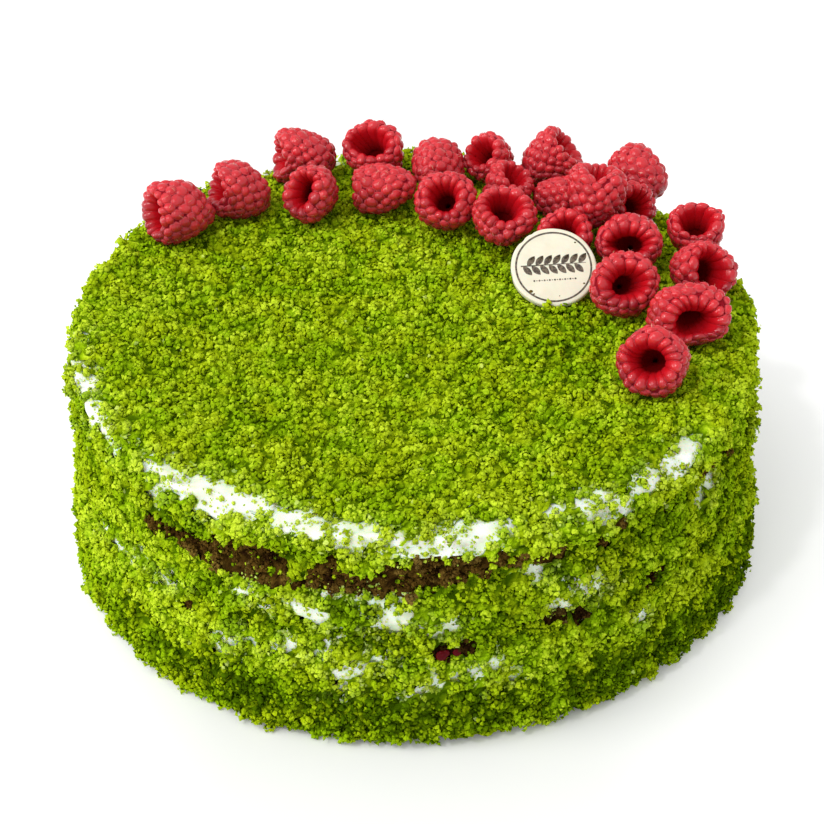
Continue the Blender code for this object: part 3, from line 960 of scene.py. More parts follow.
# Streaks that show sponge.
SPONGE_STREAKS = tuple(
    Streak(bareness, stations)
    for bareness, *stations in (
        # The upper sponge.
        (1.0, (-138.5, 54.4, 55.6), (-136, 53.2, 56), (-134, 52.6, 56), (-132, 53.4, 55.6),
         (-130.4, 52.8, 56), (-128.6, 52.6, 57), (-126, 51.8, 57.2), (-124.5, 51.2, 60.2), (-123, 50.4, 61),
         (-121, 50.6, 60.6), (-118.6, 51.2, 59.6), (-116, 51, 61.8), (-114.4, 51, 64.2), (-112.8, 51.4, 63.6),
         (-112.2, 51.5, 59.6), (-110.4, 52.4, 58.4)),
        (1.0, (-109, 52.5, 53.6), (-107.4, 52.6, 54.2), (-106.4, 53.4, 58.4), (-105, 53.8, 60.6),
         (-103.4, 54, 64.6), (-102.3, 54, 66.4), (-101.7, 54.4, 61), (-99, 54.6, 61.2), (-96.4, 55, 60.6),
         (-95, 55.2, 63.4), (-93.6, 56, 66.6), (-92, 56.2, 68.2), (-89.4, 56.4, 63), (-88.6, 56.5, 60.4),
         (-87.8, 56.6, 63), (-86.2, 57, 68.6), (-85.2, 57.4, 65), (-84.4, 57.8, 68.4), (-82.4, 58.8, 67.8),
         (-81.4, 59.8, 61.5)),
        (1.0, (-90.6, 62.5, 68.8), (-88.4, 64.4, 69), (-86.6, 63, 68.8)),
        (1.0, (-81, 63.4, 67.6), (-80, 60.6, 67.6), (-78.8, 60, 66.4), (-77.8, 60, 64)),
        (0.95, (-77.4, 65, 70), (-76.5, 62.6, 68.6), (-75.7, 61.6, 66.8)),
        (0.9, (-74.6, 60.8, 65.6), (-73.4, 60.6, 66), (-72.4, 62.4, 67), (-71.7, 65, 68.4)),
        (1.0, (-70, 60.6, 67.4), (-69, 59.8, 68.8), (-68, 59.8, 65.8), (-67, 60, 68), (-65.6, 60.4, 62.8)),
        (1.0, (-60.3, 60, 66.4), (-59.4, 59.6, 64), (-58.2, 59.4, 62.2), (-56.8, 59.2, 60.2)),
        (1.0, (-57.6, 66.8, 69), (-56.6, 64.2, 68.8), (-55.6, 62.2, 66.6), (-54.6, 61.2, 63)),
        (0.6, (-45.5, 59, 61), (-43, 59, 61.4), (-41, 59, 60.6)),
        (0.62, (-42.5, 64, 67.4), (-41, 62, 66), (-39, 60.6, 63.4)),
        (0.75, (-36, 60, 65.6), (-34.4, 59, 67), (-33, 58.6, 65), (-31, 58.2, 62), (-28.6, 57.8, 61),
         (-26, 57.8, 61.2), (-23.4, 58.2, 60)),
        # The middle sponge.
        (1.0, (-69.5, 40.4, 42), (-68, 38, 40.6), (-66.5, 38.4, 41.6), (-65.2, 38, 41.8), (-64.2, 37.5, 39)),
        (1.0, (-63.2, 36.5, 38.4), (-62.2, 36, 39.8), (-60.8, 37, 38.6)),
        (0.6, (-74, 40.8, 42), (-72.4, 39.4, 41.4), (-71, 38, 40)),
        (1.0, (-49, 41, 42.8), (-48, 39, 42.4), (-46.8, 36.8, 41), (-46, 38.2, 42.2), (-44.6, 39, 41.2)),
        (0.9, (-49, 35.4, 37), (-48, 35.2, 37.4), (-46.9, 35, 36.4)),
        (0.9, (-118.1, 34.8, 36), (-117.4, 34.4, 36.6), (-116.6, 35, 36.2)),
        (0.8, (-130.6, 32.3, 33.2), (-129, 32.1, 33.4), (-127.4, 32.3, 33.2)),
        (0.8, (-59.2, 31.8, 33.2), (-57.8, 31.8, 33.4)),
        (1.0, (-86.6, 33.4, 35.6), (-85.4, 32.6, 37.4), (-83.6, 33, 37.4), (-81, 34, 37.2),
         (-79.8, 34.6, 36.4)),
        # The far side, in the same manner.
        (0.95, (60, 57.6, 59), (67, 57.4, 61.8), (74, 57.6, 63.4), (80, 58.4, 62.4), (86, 59, 61)),
        (0.75, (92, 59, 62), (96, 59.4, 62.6)),
        (0.9, (149, 59, 61.6), (153, 58.6, 63.4), (158, 58.6, 63), (161, 59.6, 61.4)),
        (0.7, (120, 38, 40), (123, 37.4, 41), (126, 38, 40.4)),
        (0.7, (-14, 60, 64), (-10, 59.4, 64.6), (-6, 60, 63)),
    )
)


@dataclass
class CoatMap:
    """The crumb coat's outer surface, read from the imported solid.

    A place on it is an azimuth and a run: the distance from the base up the side, over the edge and in to
    the centre of the top.

    Attributes:
        columns: Readings round the cake.
        step: Run between two rows of readings, in millimetres.
        edge_radius: The radius inside which the coat is read from above.
        edge_height: The height under which the coat is read from the side.
        edge_rounding: The radius that the edge's run is measured at.
        base: The lowest readings' height.
        away: How far outside the side's readings start, from the axis.
        aside: How far from the edge's middle, and half as far above the base, the other readings start.
        shoulder: The height where the edge starts to turn inwards.
        shoulder_radius: The coat's mean radius there.
        fold_radius: The radius inside which a streak's heights go on inwards.
        fold_rise: How much a streak's height grows for each millimetre inwards.
        points: The readings, shape (rows, columns, 3).
    """

    columns: int = 360
    step: float = 1.4
    edge_radius: float = 88.0
    edge_height: float = 63.0
    edge_rounding: float = 13.0
    base: float = 0.8
    away: float = 130.0
    aside: float = 60.0
    shoulder: float = 66.0
    shoulder_radius: float = 99.3
    fold_radius: float = 94.0
    fold_rise: float = 0.75
    points: Array = field(init=False)

    def __post_init__(self) -> None:
        """Read the surface."""
        node = bpy.data.objects["crumb_coat"]
        corners = [vertex.co / MM for vertex in node.data.vertices]
        tree = BVHTree.FromPolygons(corners, [tuple(face.vertices) for face in node.data.polygons])
        rows = int(self.length / self.step)
        hits = np.full((rows, self.columns, 3), np.nan)
        for row in range(rows):
            for column in range(self.columns):
                start, way, reach = self._ray(row * self.step, FULL_TURN * column / self.columns)
                hit, _, _, _ = tree.ray_cast(start, way, reach)
                if hit is not None:
                    hits[row, column] = hit
        self.points = self._filled(hits)

    @property
    def edge_run(self) -> float:
        """The run along the rounded edge."""
        return self.edge_rounding * math.pi / 2

    @property
    def side_run(self) -> float:
        """The run up the side to the rounded edge."""
        return self.edge_height - self.base

    @property
    def length(self) -> float:
        """The whole run, from the base to the top's centre."""
        return self.side_run + self.edge_run + self.edge_radius

    def _ray(self, run: float, turn: float) -> tuple[Vector, Vector, float]:
        """Aim one reading.

        Args:
            run: The row's run.
            turn: The azimuth in radians.

        Returns:
            A start outside the coat, a direction inwards, and a reach that stops short of the far side.
        """
        out = Vector((math.cos(turn), math.sin(turn), 0.0))
        up = Vector((0.0, 0.0, 1.0))
        if run < self.side_run:
            return out * self.away + up * (self.base + run), -out, self.away - self.edge_radius
        if run < self.side_run + self.edge_run:
            tilt = (run - self.side_run) / self.edge_run * math.pi / 2
            way = out * math.cos(tilt) + up * math.sin(tilt)
            start = out * self.edge_radius + up * self.edge_height + way * self.aside
            return start, -way, self.aside - 5.0
        inner = self.length - run
        return out * inner + up * (2 * self.aside), -up, self.aside

    @staticmethod
    def _filled(hits: Array) -> Array:
        """Carry the surface over its bare patches from their edges.

        Args:
            hits: Readings of shape (rows, columns, 3), with nan where bare.

        Returns:
            The same readings with no nan.
        """
        points = hits.copy()
        while np.isnan(points).any():
            padded = np.concatenate([points[:, -1:], points, points[:, :1]], 1)
            padded = np.concatenate([padded[:1], padded, padded[-1:]], 0)
            near = np.stack([padded[:-2, 1:-1], padded[2:, 1:-1], padded[1:-1, :-2], padded[1:-1, 2:]])
            known = ~np.isnan(near[..., :1])
            total = np.where(known, near, 0.0).sum(0)
            count = known.sum(0)
            fill = np.isnan(points) & (count > 0)
            points = np.where(fill, total / np.maximum(count, 1), points)
        bare = np.isnan(hits)
        for _ in range(FILL_ROUNDS):
            padded = np.concatenate([points[:1], points, points[-1:]], 0)
            near = padded[:-2] + padded[2:] + np.roll(points, 1, 1) + np.roll(points, -1, 1)
            points = np.where(bare, near / 4, points)
        return points

    def _blend(self, table: Array, turn: Array, run: Array) -> Array:
        """Read a table between its readings.

        Args:
            table: Shape (rows, columns, n).
            turn: Azimuths in radians.
            run: Runs in millimetres.

        Returns:
            Values of shape (len(turn), n).
        """
        column = (turn / FULL_TURN * self.columns) % self.columns
        row = np.clip(run / self.step, 0.0, len(table) - 1.001)
        i, j = column.astype(int) % self.columns, row.astype(int)
        u, v = (column - np.floor(column))[:, None], (row - j)[:, None]
        k = (i + 1) % self.columns
        low = table[j, i] * (1 - u) + table[j, k] * u
        high = table[j + 1, i] * (1 - u) + table[j + 1, k] * u
        return low * (1 - v) + high * v

    def place(self, turn: Array, run: Array) -> Array:
        """Points of the surface at these azimuths in radians and runs."""
        return self._blend(self.points, turn, run)

    def under(self, x: Array, y: Array) -> CoatSpots:
        """Places of the top at these x and y."""
        return CoatSpots(self, np.arctan2(y, x) % FULL_TURN, self.length - np.hypot(x, y))


@dataclass
class CoatSpots:
    """Places on the coat.

    Attributes:
        surface: The coat's map.
        turn: Their azimuths in radians.
        run: Their runs in millimetres.
        points: The places as x, y and z.
    """

    surface: CoatMap
    turn: Array
    run: Array
    points: Array = field(init=False)

    def __post_init__(self) -> None:
        """Read the places."""
        self.points = self.surface.place(self.turn, self.run)

    @cached_property
    def climb(self) -> Array:
        """Heights as a streak's stations give them, continued inwards over the edge."""
        surface, points = self.surface, self.points
        shoulder = surface.place(self.turn, np.full(len(self.turn), surface.shoulder - surface.base))
        spread = np.hypot(shoulder[:, 0], shoulder[:, 1]) - surface.shoulder_radius
        inwards = surface.fold_radius + spread - np.hypot(points[:, 0], points[:, 1])
        return points[:, 2] + surface.fold_rise * np.maximum(inwards, 0.0) * (points[:, 2] > TOP_LEVEL)

    @cached_property
    def ragged(self) -> Array:
        """Values about -1 to 1 that make the streaks' edges ragged."""
        return 0.6 * WaveField(4.2, 3).at(self.points) + 0.4 * WaveField(2.0, 4).at(self.points)

    def bareness(self, fade: float, streaks: tuple[Streak, ...] = CREAM_STREAKS + SPONGE_STREAKS) -> Array:
        """Work out how bare the coat is.

        Args:
            fade: How far the streaks' edges fade out, in millimetres.
            streaks: Which streaks count.

        Returns:
            Values from 0, covered, to 1, bare, with ragged edges.
        """
        azimuth = np.degrees(self.turn)
        bare = np.zeros(len(self.turn))
        for streak in streaks:
            bare = np.maximum(bare, streak.cover(azimuth, self.climb, fade))
        edge = self.ragged * (0.2 + 0.5 * (1.0 - bare)) * np.clip(4.0 * bare, 0.0, 1.0)
        return np.clip(bare + edge, 0.0, 1.0)

    @cached_property
    def mounds(self) -> Array:
        """How high the coat's own mounds stand, about -1 to 1, and more on the side."""
        aside = np.hypot(self.points[:, 0], self.points[:, 1]) > SIDE_RADIUS
        return WaveField(6.0, 5).at(self.points) * (0.8 + 0.5 * aside)

    @cached_property
    def axes(self) -> tuple[Array, Array, Array]:
        """Unit vectors round the cake, along the run and out of the surface."""
        turn, run, wide = self.turn, self.run, 3.0
        behind = self.surface.place(turn, np.maximum(run - wide, 0.0))
        along = unit(self.surface.place(turn, run + wide) - behind)
        round_way = np.stack([-np.sin(turn), np.cos(turn), np.zeros(len(turn))], 1)
        return round_way, along, unit(np.cross(round_way, along))


OCTAHEDRON = np.array([[1, 0, 0], [-1, 0, 0], [0, 1, 0], [0, -1, 0], [0, 0, 1], [0, 0, -1]], float)
OCTAHEDRON_FACES = np.array(
    [[0, 2, 4], [2, 1, 4], [1, 3, 4], [3, 0, 4], [2, 0, 5], [1, 2, 5], [3, 1, 5], [0, 3, 5]]
)


def copied_faces(faces: Array, size: int, count: int) -> Array:
    """Triangles of count copies of a shape that has this many points."""
    return (faces[None] + np.arange(count)[:, None, None] * size).reshape(-1, 3)


def lump_mesh(draw: Random, centres: Array, radii: Array) -> tuple[Array, Array]:
    """Make rough lumps.

    Args:
        draw: The random source.
        centres: The lumps' centres, shape (n, 3).
        radii: Their radii, shape (n,).

    Returns:
        Points and triangles of all lumps.
    """
    count = len(centres)
    reach = radii[:, None] * draw.uniform(0.75, 1.2, (count, len(OCTAHEDRON)))
    corners = np.einsum("nij,kj->nki", random_turns(draw, count), OCTAHEDRON) * reach[..., None]
    points = (centres[:, None] + corners).reshape(-1, 3)
    return points, copied_faces(OCTAHEDRON_FACES, len(OCTAHEDRON), count)


def grain_mesh(draw: Random, centres: Array, ways: Array, radii: Array) -> tuple[Array, Array]:
    """Make crumb grains: small uneven peaks, open where they sit on their clump.

    Args:
        draw: The random source.
        centres: The grains' centres, shape (n, 3).
        ways: Where each one's peak points, unit vectors of shape (n, 3).
        radii: Their radii, shape (n,).

    Returns:
        Points and triangles of all grains. Each grain's peak comes before its rim.
    """
    count, sides = len(centres), GRAIN_SIDES
    sideways = unit(np.cross(ways, draw.normal(size=(count, 3))))
    other = np.cross(ways, sideways)
    angles = circle(sides) + draw.uniform(-0.35, 0.35, (count, sides))
    reach = radii[:, None] * draw.uniform(0.7, 1.25, (count, sides))
    sink = radii[:, None] * draw.uniform(-0.05, 0.6, (count, sides))
    rim = centres[:, None] + sideways[:, None] * (np.cos(angles) * reach)[..., None]
    rim += other[:, None] * (np.sin(angles) * reach)[..., None] - ways[:, None] * sink[..., None]
    lean = 0.25 * radii[:, None] * draw.normal(size=(count, 3))
    peak = centres + ways * (radii * draw.uniform(0.55, 1.0, count))[:, None] + lean
    points = np.concatenate([peak[:, None], rim], 1).reshape(-1, 3)
    ring = np.arange(sides)
    one = np.stack([np.zeros(sides, int), 1 + ring, 1 + (ring + 1) % sides], 1)
    return points, copied_faces(one, sides + 1, count)


def clump_directions(count: int) -> Array:
    """Spread directions evenly over a dome, from its top to a little under its edge."""
    height = 1.0 - 1.1 * (np.arange(count) + 0.5) / count
    return polar(np.sqrt(1.0 - height**2), golden_turns(count), height)


@dataclass(frozen=True)
class Zone:
    """A stretch of the coat whose crumbs are one piece.

    Attributes:
        name: The piece's name.
        low, high: The runs where it starts and ends.
    """

    name: str
    low: float
    high: float


@dataclass
class ClumpSet:
    """Clumps of crumbs, one row of every array for each clump.

    Attributes:
        points: Places on the coat.
        axes: The surface's directions there: round, along and out.
        lift: How far each clump's centre stands out.
        size: Its radius.
        tint: Its middle tint.
        pale: How pale it is.
    """

    points: Array
    axes: tuple[Array, Array, Array]
    lift: Array
    size: Array
    tint: Array
    pale: Array

    def chosen(self, keep: Array, sink: float = 0.0, scale: float = 1.0) -> ClumpSet:
        """Take some of the clumps.

        Args:
            keep: Which ones.
            sink: How much deeper they go.
            scale: What their size is multiplied by.

        Returns:
            Those clumps.
        """
        axes = tuple(axis[keep] for axis in self.axes)
        lift, size = self.lift[keep] - sink, self.size[keep] * scale
        return ClumpSet(self.points[keep], axes, lift, size, self.tint[keep], self.pale[keep])

    def moved(self, draw: Random, reach: float) -> ClumpSet:
        """Make smaller clumps beside these.

        Args:
            draw: The random source.
            reach: How far they may lie from these, in millimetres.

        Returns:
            The new clumps.
        """
        across, along, _ = self.axes
        count = len(self.points)
        way = draw.uniform(-reach, reach, (2, count, 1))
        points = self.points + across * way[0] + along * way[1]
        lift = self.lift + draw.uniform(-0.3, 0.5, count)
        size = self.size * draw.uniform(0.5, 0.95, count)
        tint = self.tint + draw.uniform(-0.15, 0.15, count)
        return ClumpSet(points, self.axes, lift, size, tint, self.pale)


@dataclass
class CrumbCoat:
    """The crust of crumbs: clumps of grains over a bed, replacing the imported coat.

    Attributes:
        surface: The surface that they lie on.
        spacing: Distance between clumps, in millimetres.
        clump_radius, grain_radius: Least and greatest radius of a clump and of a grain.
        grains: Grains on each clump.
        dust: Single fine crumbs for each clump on thin cream.
        dust_radius: Least and greatest radius of those.
        bed_step: Size of the bed's facets.
        bed_inner: The radius inside which the bed is laid as a square grid.
        bed_radius: The radius that its columns are spaced for.
        bed_jitter: How far its points leave their places, as a share of bed_step.
        bed_depth: How far the bed lies under the coat's surface.
        smear_depth: The same for the cream and sponge in the streaks.
        values: Names of the numbers that the crumbs' points carry.
        draw, bed_draw: The random sources of the loose crumbs and the bed.
    """

    surface: CoatMap
    spacing: float = 2.8
    clump_radius: tuple[float, float] = (1.05, 1.9)
    grain_radius: tuple[float, float] = (0.44, 0.92)
    grains: int = 11
    dust: int = 7
    dust_radius: tuple[float, float] = (0.22, 0.52)
    bed_step: float = 1.2
    bed_inner: float = 84.0
    bed_radius: float = 98.0
    bed_jitter: float = 0.36
    bed_depth: float = 1.0
    smear_depth: float = 1.6
    values: tuple[str, ...] = ("tint", "pale")
    draw: Random = field(default_factory=lambda: np.random.default_rng(11))
    bed_draw: Random = field(default_factory=lambda: np.random.default_rng(12))

    def make(self, green: Material, brown: Material, cream: Material) -> list[Piece]:
        """Build the bed and the crumbs.

        Args:
            green: The crumbs' material.
            brown: The material of the sponge's own crumbs.
            cream: The cream's material.

        Returns:
            The pieces.
        """
        surface = self.surface
        top = surface.length - surface.edge_radius
        zones = (
            Zone("crumbs_base", 0.0, 21.0),
            Zone("crumbs_lower_side", 21.0, 43.0),
            Zone("crumbs_upper_side", 43.0, top - 10.0),
            Zone("crumbs_top_edge", top - 10.0, top + 24.0),
            Zone("crumbs_top", top + 24.0, surface.length),
        )
        bed, loose = (MeshDraft(values=self.values) for _ in range(2))
        smears = MeshDraft(values=("dust",))
        self._beds(bed, loose, smears)
        pieces = [bed.build("crumb_bed", [green], Slot.CRUMBS, smooth=False)]
        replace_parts(pieces[0], "crumb_coat")
        pieces.append(smears.build("cream_smears", [cream], Slot.CREAM))
        for zone in zones:
            draft = MeshDraft(values=self.values)
            self._scatter(zone, draft, loose)
            pieces.append(draft.build(zone.name, [green], Slot.CRUMBS))
        pieces.append(loose.build("sponge_crumbs", [brown], Slot.SPONGE, smooth=False))
        return pieces

    def _beds(self, bed: MeshDraft, loose: MeshDraft, smears: MeshDraft) -> None:
        """Lay the surface under the clumps: rough crumbs, and in the streaks sponge or smeared cream.

        Args:
            bed: Takes the crumbs.
            loose: Takes the sponge.
            smears: Takes the cream.
        """
        surface, draw, step, jitter = self.surface, self.bed_draw, self.bed_step, self.bed_jitter
        rows = int((surface.length - self.bed_inner) / step)
        columns = int(FULL_TURN * self.bed_radius / step)
        turn = np.tile(circle(columns), rows)
        run = np.repeat(np.linspace(0.0, surface.length - self.bed_inner, rows), columns)
        faces = grid_faces(rows, columns)
        self._smear(smears, CoatSpots(surface, turn, run), faces)
        turn = turn + draw.uniform(-jitter, jitter, len(turn)) * step / self.bed_radius
        run = run + draw.uniform(-jitter, jitter, len(run)) * step * (run > step)
        self._rough(bed, loose, CoatSpots(surface, turn, run), faces)
        side = int(2 * (self.bed_inner + 1.0) / step)
        ticks = (np.arange(side) - side / 2) * step
        x, y = np.tile(ticks, side), np.repeat(ticks, side)
        faces = grid_faces(side, side, closed=False)
        faces = faces[(np.hypot(x, y)[faces] < self.bed_inner + 1.5).all(1)]
        self._smear(smears, surface.under(x, y), faces)
        x = x + draw.uniform(-jitter, jitter, side**2) * step
        y = y + draw.uniform(-jitter, jitter, side**2) * step
        self._rough(bed, loose, surface.under(x, y), faces)

    def _smear(self, smears: MeshDraft, spots: CoatSpots, faces: Array) -> None:
        """Add the cream that shows in one stretch.

        Args:
            smears: Takes the cream.
            spots: The stretch's points.
            faces: Its triangles.
        """
        least = 0.04
        white = spots.bareness(8.0, CREAM_STREAKS)
        beside = spots.bareness(4.5, CREAM_STREAKS)
        shown = (white > least) & (beside >= spots.bareness(1.2, SPONGE_STREAKS))
        used = faces[shown[faces].all(1)]
        kept, index = np.unique(used, return_inverse=True)
        points, out = spots.points[kept], spots.axes[2][kept]
        border = np.clip(1.0 - (white[kept] - least) / 0.4, 0.0, 1.0)
        lift = 0.22 * WaveField(7.0, 31).at(points) + 0.1 * WaveField(3.0, 32).at(points) - self.smear_depth
        lift = lift - 0.5 * border**2
        clear = spots.bareness(2.6, CREAM_STREAKS)[kept]
        dust = np.clip(1.0 - (clear - 0.1) / 0.85, 0.0, 1.0)
        smears.add(points + out * lift[:, None], index.reshape(used.shape), dust=dust)

    def _rough(self, bed: MeshDraft, loose: MeshDraft, spots: CoatSpots, faces: Array) -> None:
        """Add the crumbs and sponge of one stretch of the bed.

        Args:
            bed: Takes the crumbs.
            loose: Takes the sponge.
            spots: The stretch's points.
            faces: Its triangles.
        """
        draw, points, out, mounds = self.bed_draw, spots.points, spots.axes[2], spots.mounds
        rough = draw.uniform(-0.7, 0.45, len(points))
        lift = 0.5 * mounds + rough - self.bed_depth
        shade = draw.normal(0.0, 0.2, len(points))
        # Painted shade: the bed is darker where it lies deeper and lighter on its mounds.
        tint = 0.38 + 0.16 * lift + 0.08 * mounds + 0.6 * self._layer_tint_and_painted_shading(points) + shade
        brown = spots.bareness(1.6, SPONGE_STREAKS) > 0.25
        # Painted light and shade on the sponge: its raised points are lighter; it is also darker below 48 mm.
        dark = 0.42 + 0.4 * rough + 0.6 * shade - 0.3 * (points[:, 2] < 48.0)
        bare = np.maximum(spots.bareness(2.2, CREAM_STREAKS), spots.bareness(0.7, SPONGE_STREAKS))
        covered = ~(bare[faces] > 0.5).any(1)
        kept, index = np.unique(faces[covered], return_inverse=True)
        shades = np.clip(tint[kept], 0.0, 1.0)
        bed.add((points + out * lift[:, None])[kept], index.reshape(-1, 3), tint=shades, pale=0.0)
        kept, index = np.unique(faces[brown[faces].any(1)], return_inverse=True)
        deeper = points + out * (0.3 * mounds + 1.3 * rough - self.smear_depth - 0.2)[:, None]
        loose.add(deeper[kept], index.reshape(-1, 3), tint=np.clip(dark[kept], 0.0, 1.0), pale=0.0)

    def _scatter(self, zone: Zone, green: MeshDraft, brown: MeshDraft) -> None:
        """Strew one zone with clumps.

        Args:
            zone: The stretch to cover.
            green: Takes the coat's crumbs.
            brown: Takes the sponge's crumbs, in its bare patches.
        """
        draw, spots = self.draw, self._spots(zone)
        white, earthy = spots.bareness(1.7, CREAM_STREAKS), spots.bareness(1.5, SPONGE_STREAKS)
        bare = np.maximum(white, earthy)
        near = spots.bareness(3.4)
        halo, veil = spots.bareness(5.0, CREAM_STREAKS), spots.bareness(3.6, CREAM_STREAKS)
        points, mounds = spots.points, spots.mounds
        count = len(points)
        size = draw.uniform(*self.clump_radius, count) * (1.0 - 0.34 * near - 0.16 * veil)
        lift = 0.62 * mounds + draw.uniform(-0.6, 0.3, count) - 0.85 - 0.45 * near + self._heaped(points)
        # Painted light: clumps on raised mounds are lighter; the waves and the random part are their own
        # tone.
        tint = 0.47 + 0.07 * WaveField(34.0, 6).at(points) + 0.12 * mounds + draw.uniform(-0.12, 0.12, count)
        tint += self._layer_tint_and_painted_shading(points) + 0.14 * halo
        pale = 0.24 * halo * draw.uniform(0.3, 1.0, count)
        clumps = ClumpSet(points, spots.axes, lift, size, tint, pale)
        covered = (bare < draw.uniform(0.32, 0.92, count)) & (0.42 * veil < draw.random(count))
        sparse = (mounds < -0.5) & (draw.random(count) < 0.07)
        self._dust(green, clumps.chosen((veil > 0.1) & (draw.random(count) < 1.2 - veil)))
        self._grow(green, clumps.chosen(covered & ~sparse))
        crumby = 0.08 + 0.24 * (WaveField(9.0, 8).at(points) > 0.1)
        crumby = crumby + 0.24 * (points[:, 2] < 56.0) * (white > 0.0)
        stray = ~covered & (draw.random(count) < crumby)
        self._grow(green, clumps.chosen(stray, 0.3, 0.66))
        bits = clumps.chosen(~covered & (earthy > white), 0.3, 1.1)
        bits.tint -= 0.3 * (bits.points[:, 2] < 48.0)
        self._grow(brown, bits)
        self._grow(brown, bits.moved(draw, 1.6))
        green_bits = bits.moved(draw, 1.8)
        self._grow(green, green_bits.chosen(draw.random(len(bits.points)) < 0.8, 0.0, 0.46))

    def _dust(self, draft: MeshDraft, clumps: ClumpSet) -> None:
        """Strew single fine crumbs over the cream.

        Args:
            draft: Takes the crumbs.
            clumps: The clumps near which they lie.
        """
        across, along, out = (np.repeat(axis, self.dust, 0) for axis in clumps.axes)
        draw, count = self.draw, len(out)
        way = draw.uniform(-2.2, 2.2, (2, count, 1))
        points = np.repeat(clumps.points, self.dust, 0) + across * way[0] + along * way[1]
        points = points - out * (self.smear_depth - 0.15)
        grains, faces = grain_mesh(draw, points, out, draw.uniform(*self.dust_radius, count))
        tint = np.repeat(clumps.tint, self.dust) + draw.uniform(-0.15, 0.3, count)
        pale = np.repeat(draw.uniform(0.0, 0.5, count), GRAIN_SIDES + 1)
        draft.add(grains, faces, tint=np.repeat(np.clip(tint, 0.0, 1.0), GRAIN_SIDES + 1), pale=pale)

    @staticmethod
    def _heaped(points: Array) -> Array:
        """Work out how much higher the crumbs lie against the disc's lower edge.

        Args:
            points: Places on the coat.

        Returns:
            Heights in millimetres, shape (n,).
        """
        low, high = box_mm("chocolate_disc")
        middle, front = (low[0] + high[0]) / 2, low[1]
        beside, before = (points[:, 0] - middle) / 8.0, (points[:, 1] - front + 0.2) / 2.0
        return 2.4 * np.exp(-(beside**2) - before**2) * (points[:, 2] > TOP_LEVEL)

    @staticmethod
    def _layer_tint_and_painted_shading(points: Array) -> Array:
        """Work out how the crumbs' tint changes: lighter over cream, darker over the sponge as painted shade
        under the cream's ledges, painted light on the lit left side and the top's front, painted shade on the
        right.

        Args:
            points: Places on the coat.

        Returns:
            Changes of tint, shape (n,).
        """
        reach = np.hypot(points[:, 0], points[:, 1])
        # Painted shade in the bands over the sponge, under the ledges; lighter over the cream.
        heights = (0.0, 6.0, 16.0, 23.0, 30.0, 37.0, 46.0, 52.0, 58.0, 66.0, 72.0, 76.0)
        change = (-0.16, -0.30, -0.41, 0.0, 0.06, -0.18, -0.06, -0.03, -0.18, -0.03, 0.08, 0.0)
        # Painted light on the lit left side and painted shade on the right, both fading upwards.
        aside = points[:, 0] / np.maximum(reach, 1.0) * 2.2
        lit = 0.21 * np.clip(-aside - 1.0, 0.0, 1.0) - 0.13 * np.clip(aside - 1.0, 0.0, 1.0)
        lit = lit * np.clip(1.4 - points[:, 2] / 40.0, 0.0, 1.0)
        # Painted light on the front left of the top.
        above = 0.045 * np.clip(-(points[:, 0] + points[:, 1]) / 60.0, 0.0, 1.0) * (points[:, 2] > TOP_LEVEL)
        return (np.interp(points[:, 2], heights, change) + lit) * (reach > 90.0) + above

    def _spots(self, zone: Zone) -> CoatSpots:
        """Choose the clumps' places, on a jittered grid that is as dense all over.

        Args:
            zone: The stretch to cover.

        Returns:
            The places.
        """
        draw, turns, runs = self.draw, [], []
        for run in np.arange(zone.low + self.spacing / 2, zone.high, self.spacing * 0.9):
            middle = self.surface.place(np.zeros(1), np.array([run]))[0]
            radius = math.hypot(middle[0], middle[1])
            count = max(3, round(FULL_TURN * radius / self.spacing))
            shift = draw.random()
            jitter = draw.uniform(-0.45, 0.45, count)
            turns.append((np.arange(count) + shift + jitter) * FULL_TURN / count)
            runs.append(np.maximum(run + draw.uniform(-0.45, 0.45, count) * self.spacing, 0.6))
        return CoatSpots(self.surface, np.concatenate(turns), np.concatenate(runs))

    def _grow(self, draft: MeshDraft, clumps: ClumpSet) -> None:
        """Add clumps of grains.

        Args:
            draft: Takes the grains.
            clumps: The clumps.
        """
        draw, count = self.draw, len(clumps.points)
        if not count:
            return
        across, along, out = clumps.axes
        base = clump_directions(self.grains)
        spin = draw.uniform(0.0, FULL_TURN, count)
        cos, sin = np.cos(spin)[:, None], np.sin(spin)[:, None]
        shake = draw.normal(0.0, 0.18, (3, count, self.grains))
        x = base[:, 0] * cos - base[:, 1] * sin + shake[0]
        y = base[:, 0] * sin + base[:, 1] * cos + shake[1]
        z = base[:, 2] + shake[2]
        ways = x[..., None] * across[:, None] + y[..., None] * along[:, None]
        ways = ways + z[..., None] * out[:, None]
        reach = clumps.size[:, None] * draw.uniform(0.75, 1.1, (count, self.grains))
        middle = clumps.points + out * clumps.lift[:, None]
        centres = (middle[:, None] + ways * reach[..., None]).reshape(-1, 3)
        radii = draw.uniform(*self.grain_radius, count * self.grains)
        radii *= np.repeat(clumps.size / 1.6, self.grains) ** 0.5
        centres[:, 2] = np.maximum(centres[:, 2], radii)
        grains, faces = grain_mesh(draw, centres, unit(ways.reshape(-1, 3)), radii)
        # Painted shade: grains low on the clump are darker, those on its top lighter.
        tint = np.repeat(clumps.tint, self.grains) + 0.16 * (z.ravel() - 0.4)
        tint = tint + draw.normal(0.0, 0.09, len(tint))
        # Single pale grains: pale crumbs beside the cream, and scattered ones that stand for glints, painted
        # highlights.
        pale_grains_and_painted_glints = 0.3 * (draw.random(len(tint)) < 0.003 + 0.06 * np.repeat(clumps.pale > 0.03, self.grains))
        pale = np.repeat(clumps.pale, self.grains) * draw.uniform(0.2, 1.0, len(tint)) + pale_grains_and_painted_glints
